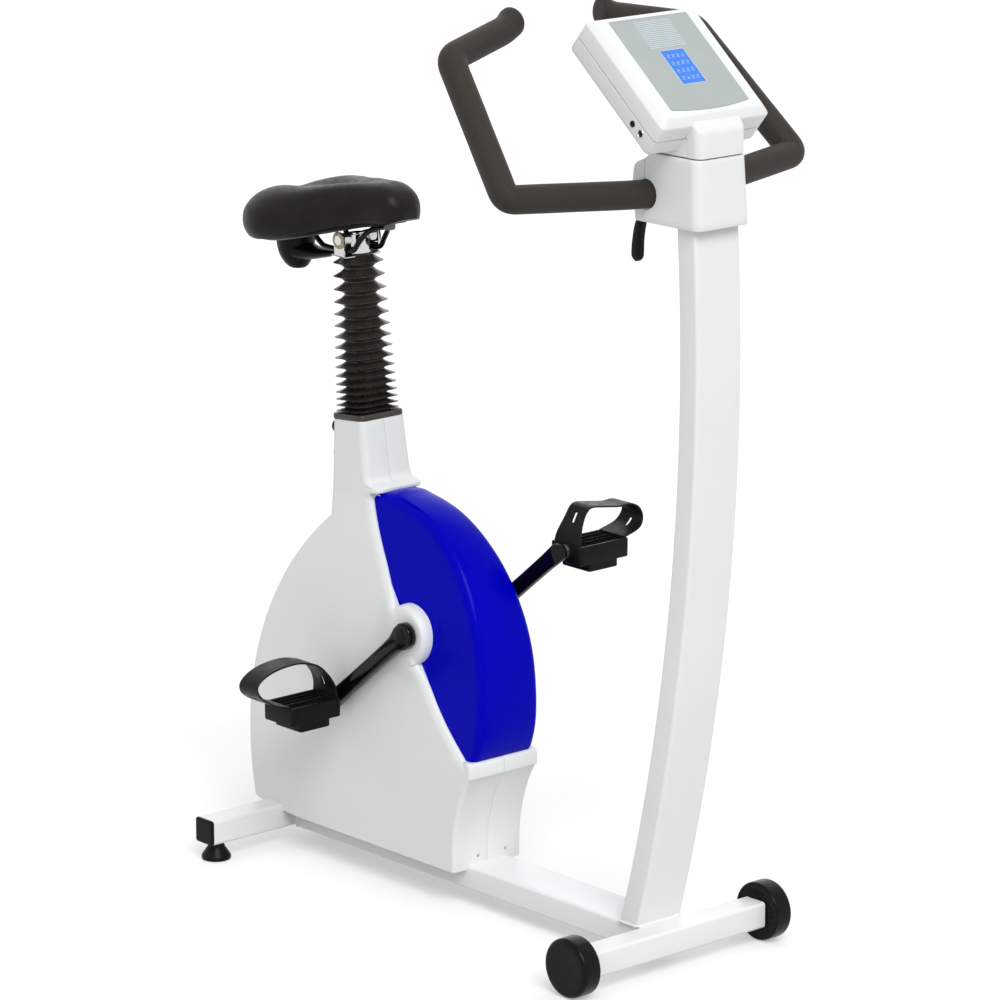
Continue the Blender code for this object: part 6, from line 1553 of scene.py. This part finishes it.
def console_marks():
    """Screen with a thin frame, generic marks, and fine lines above it."""
    origin, down, across, out = console_axes()

    def tile(u0, u1, v0, v1, low, high, corner=0.0002):
        outline = rounded_rect(u1 - u0, v1 - v0, min(corner, (u1 - u0) * 0.45, (v1 - v0) * 0.45), 3)
        middle = origin + down * ((u0 + u1) / 2) + across * ((v0 + v1) / 2)
        return loft([place(outline, middle + out * (CROWN + at), down, across) for at in (low, high)])

    make("screen", tile(*LCD_U, -LCD_HALF, LCD_HALF, -0.0006, 0.0006, 0.0008), "display", "console",
         stands_for=("display",), angle=30)
    near, far = 0.0002, 0.0008
    rim = [tile(*sides, 0.0, 0.0007) for sides in (
        (LCD_U[0] - far, LCD_U[0] - near, -LCD_HALF - far, LCD_HALF + far),
        (LCD_U[1] + near, LCD_U[1] + far, -LCD_HALF - far, LCD_HALF + far),
        (LCD_U[0] - far, LCD_U[1] + far, LCD_HALF + near, LCD_HALF + far),
        (LCD_U[0] - far, LCD_U[1] + far, -LCD_HALF - far, -LCD_HALF - near))]
    make("screen_rim", joined(*rim), "pale_marks", "console", angle=30)
    lines = []
    for i in range(15):
        u = mix(PANEL_U[0] + 0.0065, LCD_U[0] - 0.0060, i / 14)
        lines.append(tile(u - 0.00030, u + 0.00030, -LCD_HALF - 0.010, LCD_HALF + 0.010, 0.0002, 0.0006))
    make("panel_lines", joined(*lines), "pale_marks", "console", angle=30)
    digits = []
    for row in range(4):
        u = mix(LCD_U[0] + 0.0085, LCD_U[1] - 0.0085, row / 3)
        for col in range(4):
            v = mix(-LCD_HALF + 0.0065, LCD_HALF - 0.0065, col / 3)
            for du, dv, lu, lv in ((-0.0022, 0.0, 0.0004, 0.0016), (0.0022, 0.0, 0.0004, 0.0016),
                                   (0.0, 0.0, 0.0004, 0.0016), (-0.0011, 0.0017, 0.0010, 0.0004),
                                   (0.0011, -0.0017, 0.0010, 0.0004)):
                digits.append(tile(u + du - lu / 2, u + du + lu / 2, v + dv - lv, v + dv + lv,
                                   0.0004, 0.0007))
    make("screen_marks", joined(*digits), "pale_marks", "console", angle=30)
    for name, (x, z), radius, look in (("small", SMALL_JACK, 0.0038, "dark_socket_and_shade"),
                                       ("large", LARGE_JACK, 0.0050, "chrome")):
        face = CONSOLE_HALF
        bore = radius * (0.62 if name == "small" else 0.70)
        profile = [(bore, face - 0.004), (bore, face + 0.0004), (bore + radius * 0.08, face + 0.0009),
                   (radius * 0.90, face + 0.0009), (radius, face + 0.0003), (radius, face - 0.004)]
        shape = turned([(r, -at) for r, at in profile], "Y", (x, 0, z), 40, closed=True)
        make("ring_" + name, shape, look, "console",
             stands_for=("jack_" + name,), angle=40)
        # Painted shade: a flat dark disc just inside each jack's ring stands for the shaded depth of its bore
        hole = turned([(0.0, -face - 0.0002), (bore + 0.0001, -face - 0.0002),
                       (bore + 0.0001, -face + 0.0035), (0.0, -face + 0.0035)], "Y", (x, 0, z), 24)
        make("bore_shade_" + name, hole, "dark_socket_and_shade", "console", angle=40)


def back_parts():
    """Pins in the mains inlet."""
    rear = REAR_ARC_X - sqrt(REAR_ARC_R ** 2 - (INLET_Z - REAR_ARC_Z) ** 2)
    pins = []
    for dy, dz in ((-0.0050, -0.0016), (0.0050, -0.0016), (0.0, 0.0022)):
        outline = rounded_rect(0.0020, 0.0040, 0.0005, 3)
        pins.append(prism(outline, "X", rear + 0.003, rear + 0.0165, (0, INLET_Y + dy, INLET_Z + dz)))
    make("inlet_pins", joined(*pins), "steel", "frame", angle=30)


# Frame nodes that keep their CAD shape

def dress(nodes, record):
    slots = {row["node"]: row["material_slot"] for row in record["subparts"]}
    for name, piece in nodes.items():
        look = LOOKS[slots[name]]
        piece.data.materials.clear()
        piece.data.materials.append(look)


# Stage

def larger(tree, first, second):
    """Node output with the larger of two values."""
    node = tree.nodes.new("ShaderNodeMath")
    node.operation = "MAXIMUM"
    tree.links.new(first, node.inputs[0])
    tree.links.new(second, node.inputs[1])
    return node.outputs[0]


def floor():
    material = bpy.data.materials.new("floor")
    material.use_nodes = True
    nodes = material.node_tree.nodes
    links = material.node_tree.links
    nodes.clear()
    out = nodes.new("ShaderNodeOutputMaterial")
    plain = nodes.new("ShaderNodeBsdfDiffuse")
    plain.inputs["Color"].default_value = (FLOOR_COLOUR, FLOOR_COLOUR, FLOOR_COLOUR, 1)
    glow = nodes.new("ShaderNodeEmission")
    glow.inputs["Color"].default_value = (1, 1, 1, 1)
    ray = nodes.new("ShaderNodeLightPath")
    seen = larger(material.node_tree, ray.outputs["Is Camera Ray"], ray.outputs["Is Glossy Ray"])
    level = nodes.new("ShaderNodeMath")
    level.operation = "MULTIPLY"
    level.inputs[1].default_value = FLOOR_LIFT
    links.new(seen, level.inputs[0])
    links.new(level.outputs[0], glow.inputs["Strength"])
    both = nodes.new("ShaderNodeAddShader")
    links.new(plain.outputs[0], both.inputs[0])
    links.new(glow.outputs[0], both.inputs[1])
    links.new(both.outputs[0], out.inputs["Surface"])
    mesh = bpy.data.meshes.new("floor")
    corners = ((-1, -1), (1, -1), (1, 1), (-1, 1))
    mesh.from_pydata([(x * FLOOR_HALF, y * FLOOR_HALF, FLOOR_Z) for x, y in corners], [], [(0, 1, 2, 3)])
    mesh.materials.append(material)
    piece = bpy.data.objects.new("floor", mesh)
    bpy.context.scene.collection.objects.link(piece)
    piece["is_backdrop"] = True


def world():
    made = bpy.data.worlds.new("studio")
    bpy.context.scene.world = made
    made.use_nodes = True
    nodes = made.node_tree.nodes
    links = made.node_tree.links
    back = nodes["Background"]
    back.inputs["Color"].default_value = (1, 1, 1, 1)
    ray = nodes.new("ShaderNodeLightPath")
    seen = larger(made.node_tree, ray.outputs["Is Camera Ray"], ray.outputs["Is Glossy Ray"])
    seen = larger(made.node_tree, seen, ray.outputs["Is Transmission Ray"])
    level = nodes.new("ShaderNodeMapRange")
    level.inputs["To Min"].default_value = SKY
    level.inputs["To Max"].default_value = 1.0
    links.new(seen, level.inputs["Value"])
    links.new(level.outputs["Result"], back.inputs["Strength"])


def lamp(name, towards, level, angle):
    """A distant soft lamp; level is the light it adds to a white face turned to it."""
    data = bpy.data.lights.new(name, "SUN")
    data.energy = level * pi
    data.angle = radians(angle)
    piece = bpy.data.objects.new(name, data)
    piece.rotation_euler = Vector(towards).to_track_quat("Z", "Y").to_euler()
    bpy.context.scene.collection.objects.link(piece)


def camera():
    a = radians(VIEW_AZIMUTH)
    e = radians(VIEW_ELEVATION)
    back = Vector((sin(a) * cos(e), -cos(a) * cos(e), sin(e)))
    right = Vector((cos(a), sin(a), 0))
    up = back.cross(right)
    data = bpy.data.cameras.new("camera")
    data.sensor_width = 36.0
    data.lens = VIEW_LENS
    data.clip_end = 100.0
    piece = bpy.data.objects.new("camera", data)
    target = Vector((VIEW_TARGET[0] + SHIFT, VIEW_TARGET[1], VIEW_TARGET[2]))
    matrix = Matrix((right, up, back)).transposed().to_4x4()
    matrix.translation = target + back * VIEW_DISTANCE
    piece.matrix_world = matrix
    bpy.context.scene.collection.objects.link(piece)
    bpy.context.scene.camera = piece


def studio():
    floor()
    world()
    lamp("key", KEY_FROM, KEY_LEVEL, 32.0)
    lamp("fill", FILL_FROM, FILL_LEVEL, 60.0)
    camera()
    bpy.context.scene.view_settings.view_transform = "Standard"


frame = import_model()
cad_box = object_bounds()
LOOKS = looks()
dress(frame["nodes"], frame["record"])
studio()
base()
column()
cranks()
housing_halves()
cover()
bellows()
seat_lever()
saddle()
saddle_under()
clamp_parts()
head()
head_lever()
grips()
console()
back_parts()


def plain(box):
    return [list(corner) for corner in box]


{"cad": plain(cad_box), "visual": plain(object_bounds())}
